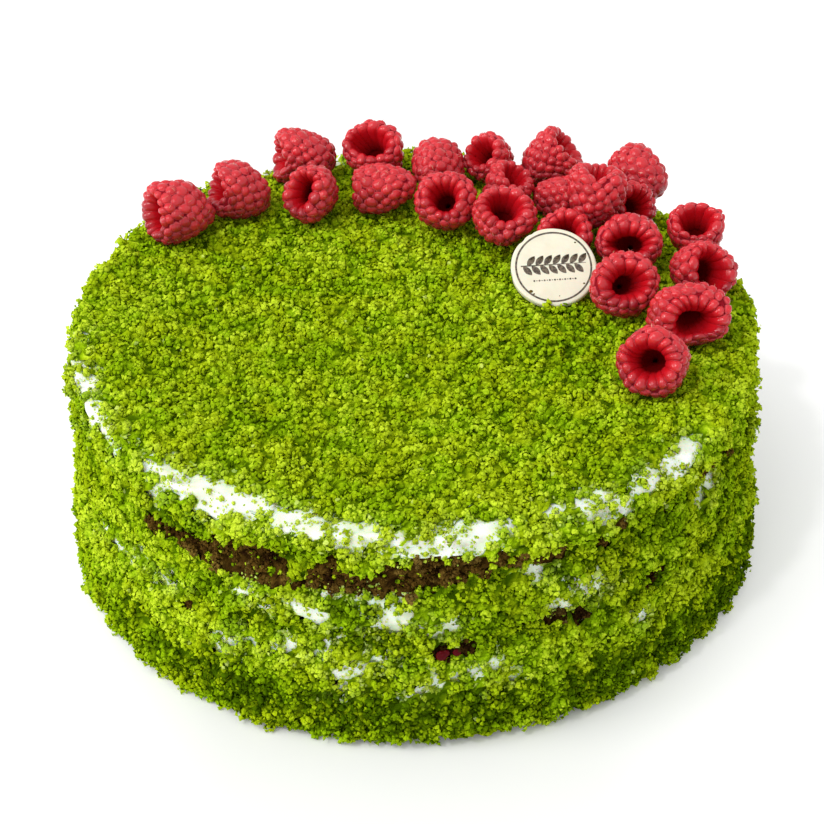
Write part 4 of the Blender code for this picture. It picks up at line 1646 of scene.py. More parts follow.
        # Painted highlight and shade: each grain's peak is lighter and its rim darker.
        step = np.tile([0.08] + [-0.06] * GRAIN_SIDES, len(tint))
        shades = np.clip(np.repeat(tint, GRAIN_SIDES + 1) + step, 0.0, 1.0)
        pale = np.repeat(np.clip(pale, 0.0, 1.0), GRAIN_SIDES + 1)
        draft.add(grains, faces, tint=shades, pale=pale)
        middle[:, 2] = np.maximum(middle[:, 2], clumps.size)
        cores, core_faces = lump_mesh(draw, middle, 0.95 * clumps.size)
        # Painted shade: the clump's core, seen between its grains, is darker.
        deep = np.repeat(np.clip(clumps.tint - 0.22, 0.0, 1.0), len(OCTAHEDRON))
        draft.add(cores, core_faces, tint=deep, pale=0.0)


# The layers.


@dataclass
class CakeLayer:
    """One sponge or cream layer, whose edge shows where the crumbs are missing.

    Attributes:
        node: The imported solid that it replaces.
        kind: What it is made of.
        shoulder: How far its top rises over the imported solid, where the layer is the topmost one.
        columns: Points round it.
        step: Height between two rows of points.
        sponge_inset: How far inside its solid a sponge's edge lies.
        cream_inset: The same for cream.
        cream_bulge: How much further in a cream's edge lies at its top and bottom.
    """

    node: str
    kind: LayerKind
    shoulder: float = 0.0
    columns: int = 240
    step: float = 2.0
    sponge_inset: float = 2.4
    cream_inset: float = 2.6
    cream_bulge: float = 0.5

    def make(self, material: Material) -> Piece:
        """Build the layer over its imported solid.

        Args:
            material: The layer's finish.

        Returns:
            The piece.
        """
        section = self._section()
        rows = len(section)
        turn = circle(self.columns)
        points = polar(self._outline()[None, :] + section[:, :1], turn, section[:, 1:]).reshape(-1, 3)
        points = points + polar(1.0, np.tile(turn, rows), 0.0) * self._relief(points)[:, None]
        ends = np.array([[0.0, 0.0, section[0, 1]], [0.0, 0.0, section[-1, 1]]])
        ring = np.arange(self.columns)
        after = np.roll(ring, -1)
        last = (rows - 1) * self.columns
        caps = np.concatenate([
            np.stack([after, ring, np.full(self.columns, len(points))], 1),
            np.stack([last + ring, last + after, np.full(self.columns, len(points) + 1)], 1),
        ])
        draft = MeshDraft()
        faces = np.concatenate([grid_faces(rows, self.columns), caps])
        draft.add(np.concatenate([points, ends]), faces)
        slot = Slot.SPONGE if self.kind is LayerKind.SPONGE else Slot.CREAM
        piece = draft.build(f"{self.node}_edge", [material], slot)
        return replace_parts(piece, self.node)

    def _section(self) -> Array:
        """Draw the edge's section.

        Returns:
            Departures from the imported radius, and heights, from the bottom up.
        """
        low, high = box_mm(self.node)
        bottom, top = low[2], high[2]
        share = np.linspace(0.0, 1.0, max(4, round((top - bottom) / self.step)))
        heights = bottom + share * (top - bottom)
        if self.kind is LayerKind.SPONGE:
            return np.stack([np.full(len(share), -self.sponge_inset), heights], 1)
        bulge = -self.cream_inset - self.cream_bulge * np.abs(2 * share - 1) ** 3
        if not self.shoulder:
            return np.stack([bulge, heights], 1)
        side = np.stack([bulge, heights], 1)[heights < top - 1.6]
        bend = np.array([[-2.1, -2.8], [-2.8, -2.1], [-3.8, -1.6], [-5.4, -1.2], [-7.4, -0.9]])
        inner = np.array([[-9.0, self.shoulder], [-14.0, self.shoulder]])
        return np.concatenate([side, np.concatenate([bend, inner]) + [0.0, top]])

    def _outline(self) -> Array:
        """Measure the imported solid.

        Returns:
            Its radius at each column.
        """
        corners = np.array([vertex.co for vertex in bpy.data.objects[self.node].data.vertices]) / MM
        corners = corners[np.hypot(corners[:, 0], corners[:, 1]) > 50.0]
        azimuth = np.arctan2(corners[:, 1], corners[:, 0]) % FULL_TURN
        order = np.argsort(azimuth)
        radius = np.hypot(corners[:, 0], corners[:, 1])[order]
        return np.interp(circle(self.columns), azimuth[order], radius, period=FULL_TURN)

    def _relief(self, points: Array) -> Array:
        """Work out the edge's uneven relief.

        Args:
            points: Places on the edge.

        Returns:
            How far each place stands out, in millimetres.
        """
        if self.kind is LayerKind.SPONGE:
            return 0.5 * WaveField(4.0, 21).at(points) + 0.3 * WaveField(2.2, 22).at(points)
        return 0.35 * WaveField(16.0, 23).at(points) + 0.15 * WaveField(6.0, 24).at(points)


# The raspberries.


@dataclass(frozen=True)
class BerryForm:
    """One raspberry's form, and how it lies.

    Angles round the mouth run from 0 at its lowest place to 90 at its right, seen from the front.

    Attributes:
        width: Its level width in millimetres.
        height: Its height across the mouth.
        length: Its length from tip to mouth.
        azimuth: Where the mouth faces, in degrees round the cake.
        elevation: How far it faces up.
        hole: The hole's height and width, as shares of the usual one.
        shift: How far the hole lies off the axis, down and to the right, as shares of the radius.
        notch: The angle where its rim is broken or folded in.
        depth: How deep the notch is, as a share of the length.
        spread: Half the notch's width in degrees.
    """

    width: float
    height: float
    length: float
    azimuth: float
    elevation: float
    hole: tuple[float, float] = (1.0, 1.0)
    shift: tuple[float, float] = (0.0, 0.0)
    notch: float = 0.0
    depth: float = 0.0
    spread: float = 30.0


BERRIES = (
    BerryForm(20.6, 19.6, 21.0, -151, 12, (1.25, 0.9), notch=80, depth=0.05, spread=40),
    BerryForm(18.6, 17.8, 19.5, -168, 20, (1.1, 1.1), notch=95, depth=0.10, spread=40),
    BerryForm(19.0, 18.6, 19.5, -172, 8, (1.1, 1.1), notch=100, depth=0.12, spread=34),
    BerryForm(16.4, 18.2, 18.5, -118, 32, (1.3, 0.66), (0.0, -0.16)),
    BerryForm(20.2, 17.8, 18.0, -112, 56, (0.9, 1.2), (0.0, -0.10), notch=60, depth=0.06, spread=42),
    BerryForm(17.0, 16.4, 19.4, 170, -14),
    BerryForm(17.4, 17.0, 19.0, 77, -16),
    BerryForm(19.2, 18.6, 18.5, -98, 46, (1.05, 0.95), (0.04, 0.0), notch=60, depth=0.04, spread=30),
    BerryForm(16.0, 16.0, 16.5, -140, 50, (1.0, 1.1), notch=20, depth=0.05, spread=34),
    BerryForm(16.0, 15.6, 16.5, -12, 62, (0.9, 1.1), notch=-90, depth=0.08, spread=36),
    BerryForm(19.6, 19.0, 17.5, -88, 56, (0.9, 1.12), (-0.12, 0.04), notch=170, depth=0.04, spread=30),
    BerryForm(19.0, 18.4, 19.0, 2, 46, (1.1, 0.9), notch=10, depth=0.05, spread=40),
    BerryForm(15.6, 15.4, 17.0, -22, 8),
    BerryForm(18.8, 17.8, 20.0, 60, 75, (0.6, 0.7), notch=-160, depth=0.1, spread=26),
    BerryForm(17.2, 16.6, 16.0, -99, 50, (0.9, 1.1)),
    BerryForm(17.0, 16.6, 19.6, 128, 6, notch=0, depth=0.1, spread=40),
    BerryForm(15.6, 15.6, 16.5, -68, 35, (1.1, 0.9), notch=90, depth=0.06, spread=40),
    BerryForm(19.8, 18.4, 17.5, -97, 38, (0.66, 1.25), (0.08, 0.0)),
    BerryForm(17.8, 16.6, 17.0, -90, 64, (1.05, 1.25), notch=0, depth=0.06, spread=60),
    BerryForm(20.6, 20.0, 18.0, -83, 40, (0.95, 1.05), (0.06, 0.08), notch=175, depth=0.05, spread=30),
    BerryForm(20.0, 18.4, 18.5, -70, 30, (1.5, 0.8), (0.05, 0.08), notch=15, depth=0.06, spread=30),
    BerryForm(25.6, 19.4, 17.5, -84, 24, (0.9, 0.95), (0.22, 0.08), notch=10, depth=0.12, spread=28),
    BerryForm(21.4, 20.0, 18.5, -104, 33, (0.95, 1.15), (0.0, -0.08)),
)


def dome(segments: int, rings: int, flare: float = -0.25) -> tuple[Array, Array]:
    """Make the upper part of a ball of radius one.

    Args:
        segments: Points round it.
        rings: Rings of points under its top.
        flare: The lowest ring's height.

    Returns:
        Points, the top first, and triangles.
    """
    turn = circle(segments)
    points = [np.array([[0.0, 0.0, 1.0]])]
    for angle in np.linspace(0.0, math.acos(flare), rings + 1)[1:]:
        points.append(polar(math.sin(angle), turn, math.cos(angle)))
    ring = np.arange(segments)
    top = np.stack([np.zeros(segments, int), 1 + ring, 1 + (ring + 1) % segments], 1)
    rest = grid_faces(rings, segments)[:, ::-1] + 1
    return np.concatenate(points), np.concatenate([top, rest])


@dataclass
class SectionLine:
    """A line of heights and radii turned round an upright axis, read by its run and an azimuth.

    Attributes:
        points: Heights and radii along the line.
        run: The distance along it to each of them.
        slopes: Its direction at each of them.
    """

    points: Array
    run: Array = field(init=False)
    slopes: Array = field(init=False)

    def __post_init__(self) -> None:
        """Measure the line."""
        steps = np.linalg.norm(np.diff(self.points, axis=0), axis=1)
        self.run = np.concatenate([[0.0], np.cumsum(steps)])
        self.slopes = unit(np.gradient(self.points, axis=0))

    @property
    def crest(self) -> float:
        """The run at the line's highest place."""
        return float(self.run[np.argmax(self.points[:, 0])])

    def radius(self, spot: float | Array) -> float | Array:
        """The radius at a run."""
        return np.interp(spot, self.run, self.points[:, 1])

    def at(self, spots: Array, turns: Array) -> tuple[Array, Array]:
        """Find places on the turned surface.

        Args:
            spots: Their runs.
            turns: Their azimuths in radians.

        Returns:
            The places, and the directions out of the surface there.
        """
        height, radius = (np.interp(spots, self.run, self.points[:, k]) for k in (0, 1))
        rise, widen = (np.interp(spots, self.run, self.slopes[:, k]) for k in (0, 1))
        up = np.array([0.0, 0.0, 1.0])
        out = polar(1.0, turns, 0.0)
        places = out * radius[:, None] + np.outer(height, up)
        return places, unit(out * rise[:, None] - np.outer(widen, up))


@dataclass
class Raspberry:
    """One raspberry: uneven drupelets outside, and long ones over the rim and down into the hollow.

    In its own frame the mouth faces +Z, and sections are shares of half its length and half its width.

    Attributes:
        number: Its number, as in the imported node's name.
        form: Its form.
        pitch: A usual drupelet's width in millimetres.
        rim_pitch: The same for the long ones on the rim.
        rim_reach: How far those reach down the outside.
        rim_rows: Rows of points along them.
        rim_columns: Points across each of them.
        crown_height: How far a drupelet stands over its own edge.
        section: Where the drupelets' tops lie, from the tip over the rim into the hole.
        hollow: The hole, from its edge to its bottom.
        draw: Its random source.
        draft: Its mesh.
        line: Its section, measured.
    """

    number: int
    form: BerryForm
    pitch: float = 3.6
    rim_pitch: float = 3.1
    rim_reach: float = 2.9
    rim_rows: int = 13
    rim_columns: int = 6
    crown_height: float = 2.4
    section: Table = (
        (-0.985, 0.03), (-0.95, 0.28), (-0.76, 0.57), (-0.46, 0.77), (-0.12, 0.91), (0.22, 0.985),
        (0.50, 1.0), (0.75, 0.955), (0.92, 0.84), (0.985, 0.70), (0.95, 0.57), (0.82, 0.47),
        (0.60, 0.40), (0.35, 0.355), (0.10, 0.315), (-0.12, 0.28),
    )
    hollow: Table = ((0.55, 0.50), (0.30, 0.44), (0.0, 0.38), (-0.26, 0.29), (-0.44, 0.14), (-0.50, 0.0))
    draw: Random = field(init=False)
    draft: MeshDraft = field(init=False)
    line: SectionLine = field(init=False)

    def __post_init__(self) -> None:
        """Start the mesh."""
        self.draw = np.random.default_rng(100 + self.number)
        self.draft = MeshDraft(values=("crown", "inner", "ripe"))
        self.line = SectionLine(self._curve(self.section, 90))

    def make(self, flesh: Material, hair: Material) -> Piece:
        """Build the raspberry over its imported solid.

        Args:
            flesh: The drupelets' finish.
            hair: The hairs' finish.

        Returns:
            The piece.
        """
        draft = self.draft
        self._core()
        self._drupelets()
        self._rim()
        self._hole()
        node = f"raspberry_{self.number:02d}"
        turn = turned(self.form.azimuth, self.form.elevation)
        points = [self._bent(part) @ turn.T for part in draft.points]
        every = np.concatenate(points)
        low, high = box_mm(node)
        shift = (low + high) / 2 - (every.min(0) + every.max(0)) / 2
        draft.points = [part + shift for part in points]
        # Painted shade: the fruit darkens towards its underside, added to each drupelet's own ripeness.
        draft.numbers["ripe"] = [
            np.clip(0.5 * ripe + 1.1 * (0.62 - (part[:, 2] - low[2]) / (high[2] - low[2])), 0.0, 1.0)
            for ripe, part in zip(draft.numbers["ripe"], draft.points)
        ]
        piece = draft.build(f"{node}_fruit", [flesh, hair], Slot.RASPBERRY)
        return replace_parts(piece, node)

    def _radius(self) -> float:
        """The mean of half height and half width."""
        return (self.form.height + self.form.width) / 4

    def _bent(self, points: Array) -> Array:
        """Give the round fruit its own form: oval sides, a broken rim and an oval hole off the axis.

        Args:
            points: Places in the fruit's own frame, on a round fruit.

        Returns:
            The same places on this fruit.
        """
        form, radius = self.form, self._radius()
        half = form.length / 2
        x, y, z = points.T.copy()
        reach = np.hypot(x, y)
        upper = np.clip(z / half + 0.6, 0.0, 1.0)
        inside = np.clip(1.28 - reach / (0.76 * radius), 0.0, 1.0) * upper
        off = (np.degrees(np.arctan2(y, x)) - form.notch + 180.0) % 360.0 - 180.0
        weight = np.exp(-((off / form.spread) ** 2)) * np.clip(z / half, 0.0, 1.0) ** 1.3
        weight *= np.clip(reach / (0.35 * radius) - 0.5, 0.0, 1.0)
        x = x * (1.0 + (form.hole[0] - 1.0) * inside) + form.shift[0] * radius * inside
        y = y * (1.0 + (form.hole[1] - 1.0) * inside) + form.shift[1] * radius * inside
        z = z - weight * form.depth * form.length
        pull = 1.0 - 1.3 * form.depth * weight
        x, y = x * pull * form.height / 2 / radius, y * pull * form.width / 2 / radius
        bent = np.stack([x, y, z], 1)
        for axis in range(3):
            bent[:, axis] += 0.045 * radius * WaveField(12.0, 300 + 5 * self.number + axis, 12).at(points)
        return bent

    def _curve(self, section: Table, count: int) -> Array:
        """Read a section at evenly spaced places along it.

        Args:
            section: Its points, as shares of length and width.
            count: How many places.

        Returns:
            Heights and radii in millimetres, shape (count, 2).
        """
        table = np.array(section) * [self.form.length / 2, self._radius()]
        run = np.concatenate([[0.0], np.cumsum(np.linalg.norm(np.diff(table, axis=0), axis=1))])
        places = np.linspace(0.0, run[-1], count)
        return np.stack([np.interp(places, run, table[:, k]) for k in (0, 1)], 1)

    def _core(self) -> None:
        """Add the body that the drupelets sit on."""
        rows, columns = 15, 18
        curve = self._curve(self.section, rows)
        slope = unit(np.gradient(curve, axis=0))
        curve = curve - 1.2 * np.stack([-slope[:, 1], slope[:, 0]], 1)
        curve[:, 1] = np.maximum(curve[:, 1], 0.02)
        points = polar(curve[:, 1:], circle(columns), curve[:, :1]).reshape(-1, 3)
        self.draft.add(points, grid_faces(rows, columns), crown=0.0, inner=0.0, ripe=0.5)

    def _seats(self) -> tuple[Array, Array, Array]:
        """Spread the drupelets over the outside, uneven in size, and let them push each other apart.

        Returns:
            The drupelets' runs, azimuths and widths.
        """
        line = self.line
        outside = line.run < line.crest - self.rim_reach + 0.6
        run, radius = line.run[outside], line.points[outside, 1]
        steps = np.diff(run) * (radius[1:] + radius[:-1]) / 2
        area = np.concatenate([[0.0], np.cumsum(steps)])
        count = round(FULL_TURN * area[-1] / (0.84 * self.pitch**2))
        spots = np.interp((np.arange(count) + 0.5) / count * area[-1], area, run)
        turns = golden_turns(count)
        wide = self.pitch * self.draw.uniform(0.80, 1.22, count)
        want = (wide[:, None] + wide[None]) / 2
        for _ in range(16):
            here = np.interp(spots, run, radius)
            along = spots[:, None] - spots[None]
            apart = (turns[:, None] - turns[None] + math.pi) % FULL_TURN - math.pi
            across = apart * (here[:, None] + here[None]) / 2
            far = np.hypot(along, across) + np.eye(count)
            push = 0.22 * np.clip(want - far, 0.0, None) / far * (1.0 - np.eye(count))
            spots = np.clip(spots + (push * along).sum(1), 0.2, run[-1] - 0.3)
            turns = turns + np.clip((push * across).sum(1) / np.maximum(here, 1.0), -0.4, 0.4)
        return spots, turns, wide

    def _drupelets(self) -> None:
        """Add the drupelets of the outside, and hairs on some."""
        for spot, turn, wide in zip(*self._seats()):
            high = self.crown_height * self.draw.uniform(0.85, 1.15)
            self._swell(spot, turn, 0.67 * wide, high)
            if self.draw.random() < 0.5:
                root, normal = self.line.at(np.array([spot]), np.array([turn]))
                self._hair(root[0], normal[0], np.array([-math.sin(turn), math.cos(turn), 0.0]))

    def _rim(self) -> None:
        """Add the long drupelets that lie side by side over the rim and down into the hole."""
        draw, line = self.draw, self.line
        across, start = self.rim_columns, line.crest - self.rim_reach
        count = round(FULL_TURN * line.radius(line.crest) / self.rim_pitch)
        wide = draw.uniform(0.75, 1.25, count)
        edges = np.concatenate([[0.0], np.cumsum(wide)]) * FULL_TURN / wide.sum()
        arc = np.linspace(-math.pi / 2, math.pi / 2, across + 1)[:-1]
        turn = (edges[:-1, None] + np.diff(edges)[:, None] * (np.sin(arc) + 1.0) / 2).ravel()
        columns = len(turn)
        spots = np.repeat(np.linspace(start - 0.8, line.run[-1], self.rim_rows), columns)
        ends = start + np.repeat(draw.uniform(-0.9, 1.3, count), across)
        proud = np.tile(np.repeat(draw.uniform(-0.35, 0.35, count), across), self.rim_rows)
        turns, swell = np.tile(turn, self.rim_rows), np.tile(np.cos(arc), count * self.rim_rows)
        past = np.clip((spots - np.tile(ends, self.rim_rows)) / 2.2, 0.0, 1.0)
        rounded = np.sqrt(1.0 - (1.0 - past) ** 2)
        groove = np.interp(spots - line.crest, (-4.0, 0.0, 2.0, 4.0, 7.0), (1.9, 1.5, 1.0, 0.5, 0.25))
        inside = np.clip((spots - line.crest) / (line.run[-1] - line.crest), 0.0, 1.0)
        points, normal = line.at(spots, turns)
        lift = proud * (1.0 - inside) - groove * (1.0 - swell) - 2.4 * (1.0 - rounded)
        deeper = np.clip(spots - line.crest, 0.0, 5.0) / 7.0
        crown = np.clip((swell * rounded - 0.12) / 0.75 + deeper, 0.0, 1.0)
        ripe = np.tile(np.repeat(draw.random(count), across), self.rim_rows)
        faces = grid_faces(self.rim_rows, columns)
        self.draft.add(points + normal * lift[:, None], faces, crown=crown, inner=0.8 * inside, ripe=ripe)

    def _swell(self, spot: float, turn: float, half: float, high: float) -> None:
        """Add one drupelet, bent over the section.

        Args:
            spot: Its run.
            turn: Its azimuth in radians.
            half: Half its width.
            high: How far its top stands over its edge.
        """
        line = self.line
        ball, faces = dome(9, 3, flare=0.3)
        spots, turns = np.full(len(ball), spot), np.full(len(ball), turn)
        radius = line.radius(spot)
        flat = radius < 0.8 * self.pitch and spot < line.crest
        if not flat:
            spots = np.clip(spots + half * ball[:, 1], 0.0, line.run[-1])
            turns = turns + half / radius * ball[:, 0]
        points, normal = line.at(spots, turns)
        if flat:
            across = np.array([-math.sin(turn), math.cos(turn), 0.0])
            plane = np.stack([across, np.cross(normal[0], across)])
            points = points + (ball[:, :2] * half) @ plane
        points = points + normal * (high * (ball[:, 2] - 1.0))[:, None]
        crown = np.clip((ball[:, 2] - 0.42) / 0.58, 0.0, 1.0)
        inner = 0.8 * np.clip((spots - line.crest) / (line.run[-1] - line.crest), 0.0, 1.0)
        self.draft.add(points, faces, crown=crown, inner=inner, ripe=self.draw.random())

    def _hair(self, root: Array, normal: Array, along: Array) -> None:
        """Add one dried hair.

        Args:
            root: Where it grows.
            normal: The surface's direction there.
            along: A direction on the surface.
        """
        draw = self.draw
        way = unit(along * draw.uniform(-1.0, 1.0) + np.cross(normal, along) * draw.uniform(-1.0, 1.0))
        side = np.cross(normal, way) * 0.05
        reach = draw.uniform(1.1, 2.0)
        bend = root + normal * 0.3 + way * 0.5 * reach
        tip = root + normal * draw.uniform(0.0, 0.4) + way * reach
        points = np.array([root - side, root + side, bend + side, bend - side, tip])
        faces = np.array([[0, 1, 2], [0, 2, 3], [3, 2, 4]])
        self.draft.add(points, faces, slot=1, crown=1.0, inner=0.0, ripe=0.0)

    def _hole(self) -> None:
        """Add the fluted hole."""
        draw, rows, columns = self.draw, 9, 28
        curve = self._curve(self.hollow, rows)
        turn = circle(columns)
        depth = np.linspace(0.0, 1.0, rows)
        swell = 1.0 + np.outer(0.04 * (1 - depth), np.cos(11 * turn + draw.uniform(0.0, 6.0)))
        swell += np.outer(0.05 * np.sin(depth * 9.0), np.cos(2 * turn + draw.uniform(0.0, 6.0)))
        points = polar(curve[:, 1:] * swell, turn, curve[:, :1]).reshape(-1, 3)
        # Inner grows towards the hole's bottom, where the finish paints shade.
        inner = np.repeat(0.5 + 0.5 * depth, columns)
        faces = grid_faces(rows, columns)[:, ::-1]
        self.draft.add(points, faces, crown=0.7, inner=inner, ripe=0.5)


@dataclass
class FillingBit:
    """The piece of raspberry that peeps out of the filling.

    Attributes:
        node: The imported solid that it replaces.
        drupelets: For each one how far it lies across and up, and its reach, as shares of the solid's size.
    """

    node: str = "filling_raspberry"
    drupelets: Table = ((-0.30, -0.02, 0.26), (-0.12, 0.14, 0.17), (0.36, 0.16, 0.19))

    def make(self, skin: Material) -> Piece:
        """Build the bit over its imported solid.

        Args:
            skin: A glossy dark skin.

        Returns:
            The piece.
        """
        low, high = box_mm(self.node)
        middle, size = (low + high) / 2, high - low
        ball, faces = dome(16, 9, flare=-0.98)
        draft = MeshDraft(values=("crown", "inner", "ripe"))
        out = unit(np.array([middle[0], middle[1], 0.0]))
        side = np.cross([0.0, 0.0, 1.0], out)
        frame = np.stack([side, [0.0, 0.0, 1.0], out])
        for across, up, share in self.drupelets:
            reach = share * size[0] * np.array([1.0, 1.1, 0.5])
            points = (ball * reach) @ frame + middle + side * across * size[0] + [0.0, 0.0, up * size[2]]
            draft.add(points, faces, crown=1.0, inner=0.0, ripe=0.3)
        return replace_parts(draft.build("filling_raspberry_bit", [skin], Slot.RASPBERRY), self.node)


# The disc.


@dataclass
class ChocolateDisc:
    """The white chocolate disc, with a printed ring line and a plain sprig.

    Attributes:
        node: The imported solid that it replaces.
        radius, thickness: Its radius and thickness in millimetres.
        edge: The rounding of its edge.
        lean: How far its face leans back from level, in degrees.
        spin: How far its print is turned, in degrees.
        ink_lift: How far the ink stands over the face.
        specks: For each brown speck its place across and up the face, and half its width.
        dents: For each dent in the edge its angle in radians, its depth and its width.
        ink: The print's mesh.
    """

    node: str = "chocolate_disc"
    radius: float = 12.6
    thickness: float = 2.2
    edge: float = 0.6
    lean: float = 32.0
    spin: float = 4.0
    ink_lift: float = 0.03
    specks: Table = (
        (-7.3, -7.4, 0.62),
        (-6.5, -8.3, 0.34),
        (7.0, 7.4, 0.34),
        (8.4, -5.9, 0.36),
        (0.9, -9.4, 0.2),
    )
    dents: Table = ((2.32, 0.030, 0.07), (2.02, 0.018, 0.05), (3.3, 0.015, 0.06))
    ink: MeshDraft = field(default_factory=MeshDraft)

    def _place(self, points: Array) -> Array:
        """Move points from the disc's own frame, face towards +Z, to the cake.

        Args:
            points: Places in the disc's frame.

        Returns:
            The same places on the cake.
        """
        low, high = box_mm(self.node)
        back = Matrix.Rotation(math.radians(self.lean), 3, "X")
        turn = back @ Matrix.Rotation(math.radians(self.spin), 3, "Z")
        return points @ np.array(turn).T + (low + high) / 2

    def make(self, chocolate: Material, ink: Material, brown: Material) -> list[Piece]:
        """Build the disc, its print and the brown specks on it.

        Args:
            chocolate: The disc's finish.
            ink: The print's finish.
            brown: The specks' finish.

        Returns:
            The pieces.
        """
        body = self._body(chocolate)
        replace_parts(body, self.node)
        return [body, self._print(ink), self._specks(brown)]

    def _specks(self, brown: Material) -> Piece:
        """Build the small brown specks on the face.

        Args:
            brown: Their finish.

        Returns:
            The piece.
        """
        draft = MeshDraft(values=("tint", "pale"))
        ball, faces = dome(7, 2, flare=0.05)
        for x, y, wide in self.specks:
            spot = ball * [wide, 0.8 * wide, 0.2 * wide] + [x, y, self.thickness / 2]
            draft.add(self._place(spot), faces, tint=0.62, pale=0.1)
        return draft.build("disc_specks", [brown], Slot.CHOCOLATE)

    def _body(self, chocolate: Material) -> Piece:
        """Build the disc itself, with a rounded edge.

        Args:
            chocolate: Its finish.

        Returns:
            The piece.
        """
        columns = 96
        half, edge = self.thickness / 2, self.edge
        turns = circle(columns)
        bends = np.linspace(0.0, math.pi / 2, 6)
        inner = self.radius - edge
        section = [(0.02, -half), (self.radius * 0.5, -half)]
        section += [(inner + edge * math.sin(bend), -half + edge - edge * math.cos(bend)) for bend in bends]
        section += [(inner + edge * math.cos(bend), half - edge + edge * math.sin(bend)) for bend in bends]
        section += [(self.radius * share, half) for share in (0.9, 0.75, 0.5, 0.25)] + [(0.02, half)]
        wobble = 1.0 + 0.004 * np.cos(3 * turns + 1.0) + 0.003 * np.cos(7 * turns)
        for turn, deep, wide in self.dents:
            wobble -= deep * np.exp(-(((turns - turn) / wide) ** 2))
        radius, height = np.array(section).T[..., None]
        points = polar(radius * wobble, turns, height).reshape(-1, 3)
        draft = MeshDraft()
        draft.add(self._place(points), grid_faces(len(section), columns))
        return draft.build("chocolate_disc_plate", [chocolate], Slot.CHOCOLATE)

    def _print(self, ink: Material) -> Piece:
        """Build the ring line, the sprig and a row of dots, as thin ink on the face.

        Args:
            ink: Their finish.

        Returns:
            The piece.
        """
        self._ring_line(0.875, 0.55)
        for share in (-0.66, -0.46, -0.26, -0.06, 0.14, 0.34, 0.54):
            for side in (-1.0, 1.0):
                self._leaf((share + 0.05 * side) * self.radius, side)
        self._stem()
        for dot in range(-8, 9):
            self._spot(dot * 0.06 * self.radius, -0.33 * self.radius, 0.18 if dot % 2 else 0.30)
        return self.ink.build("disc_print", [ink], Slot.CHOCOLATE)

    def _flat(self, outline: Array) -> None:
        """Add a flat shape of ink.

        Args:
            outline: Its edge, anticlockwise, shape (n, 2), with its first point as the fan's centre.
        """
        height = np.full((len(outline), 1), self.thickness / 2 + self.ink_lift)
        numbers = np.arange(1, len(outline) - 1)
        faces = np.stack([np.zeros(len(numbers), int), numbers, numbers + 1], 1)
        self.ink.add(self._place(np.hstack([outline, height])), faces)

    def _leaf(self, start: float, side: float) -> None:
        """Add one leaf.

        Args:
            start: Where it leaves the stem.
            side: Which side it grows to, -1 or 1.
        """
        length, wide = 0.31 * self.radius, 0.075 * self.radius
        share = np.linspace(0.0, 1.0, 9)
        swell = np.sin(share * math.pi) ** 0.8 * wide
        upper = np.stack([share * length, swell], 1)
        lower = np.stack([share[::-1] * length, -swell[::-1]], 1)
        turn = np.array([[0.62, 0.78 * side], [-0.78 * side, 0.62]])
        outline = np.concatenate([lower, upper[1:]]) @ turn
        if side < 0:
            outline = outline[::-1]
        self._flat(outline + [start, 0.06 * self.radius])

    def _stem(self) -> None:
        """Add the sprig's stem."""
        half, thin, up = 0.76 * self.radius, 0.2, 0.06 * self.radius
        corners = [(-half, up - thin), (half, up - 0.4 * thin), (half, up + 0.4 * thin), (-half, up + thin)]
        self._flat(np.array(corners))

    def _spot(self, x: float, y: float, radius: float) -> None:
        """Add one small dot."""
        self._flat(polar(radius, circle(12), 0.0)[:, :2] + [x, y])

    def _ring_line(self, share: float, width: float) -> None:
        """Add a thin ring.

        Args:
            share: Its radius, as a share of the disc's.
            width: Its width in millimetres.
        """
        columns = 120
        radii = share * self.radius + np.array([[width / 2], [-width / 2]])
        points = polar(radii, circle(columns), self.thickness / 2 + self.ink_lift)
        self.ink.add(self._place(points.reshape(-1, 3)), grid_faces(2, columns))


# The studio.


@dataclass(frozen=True)
class SoftLight:
    """A broad, distant lamp.

    Attributes:
        name: The lamp's name.
        azimuth, elevation: Where it shines from, in degrees round the cake and above its base.
        strength: How strong it is.
        softness: How wide it looks from the cake, in degrees.
    """

    name: str
    azimuth: float
    elevation: float
    strength: float
    softness: float


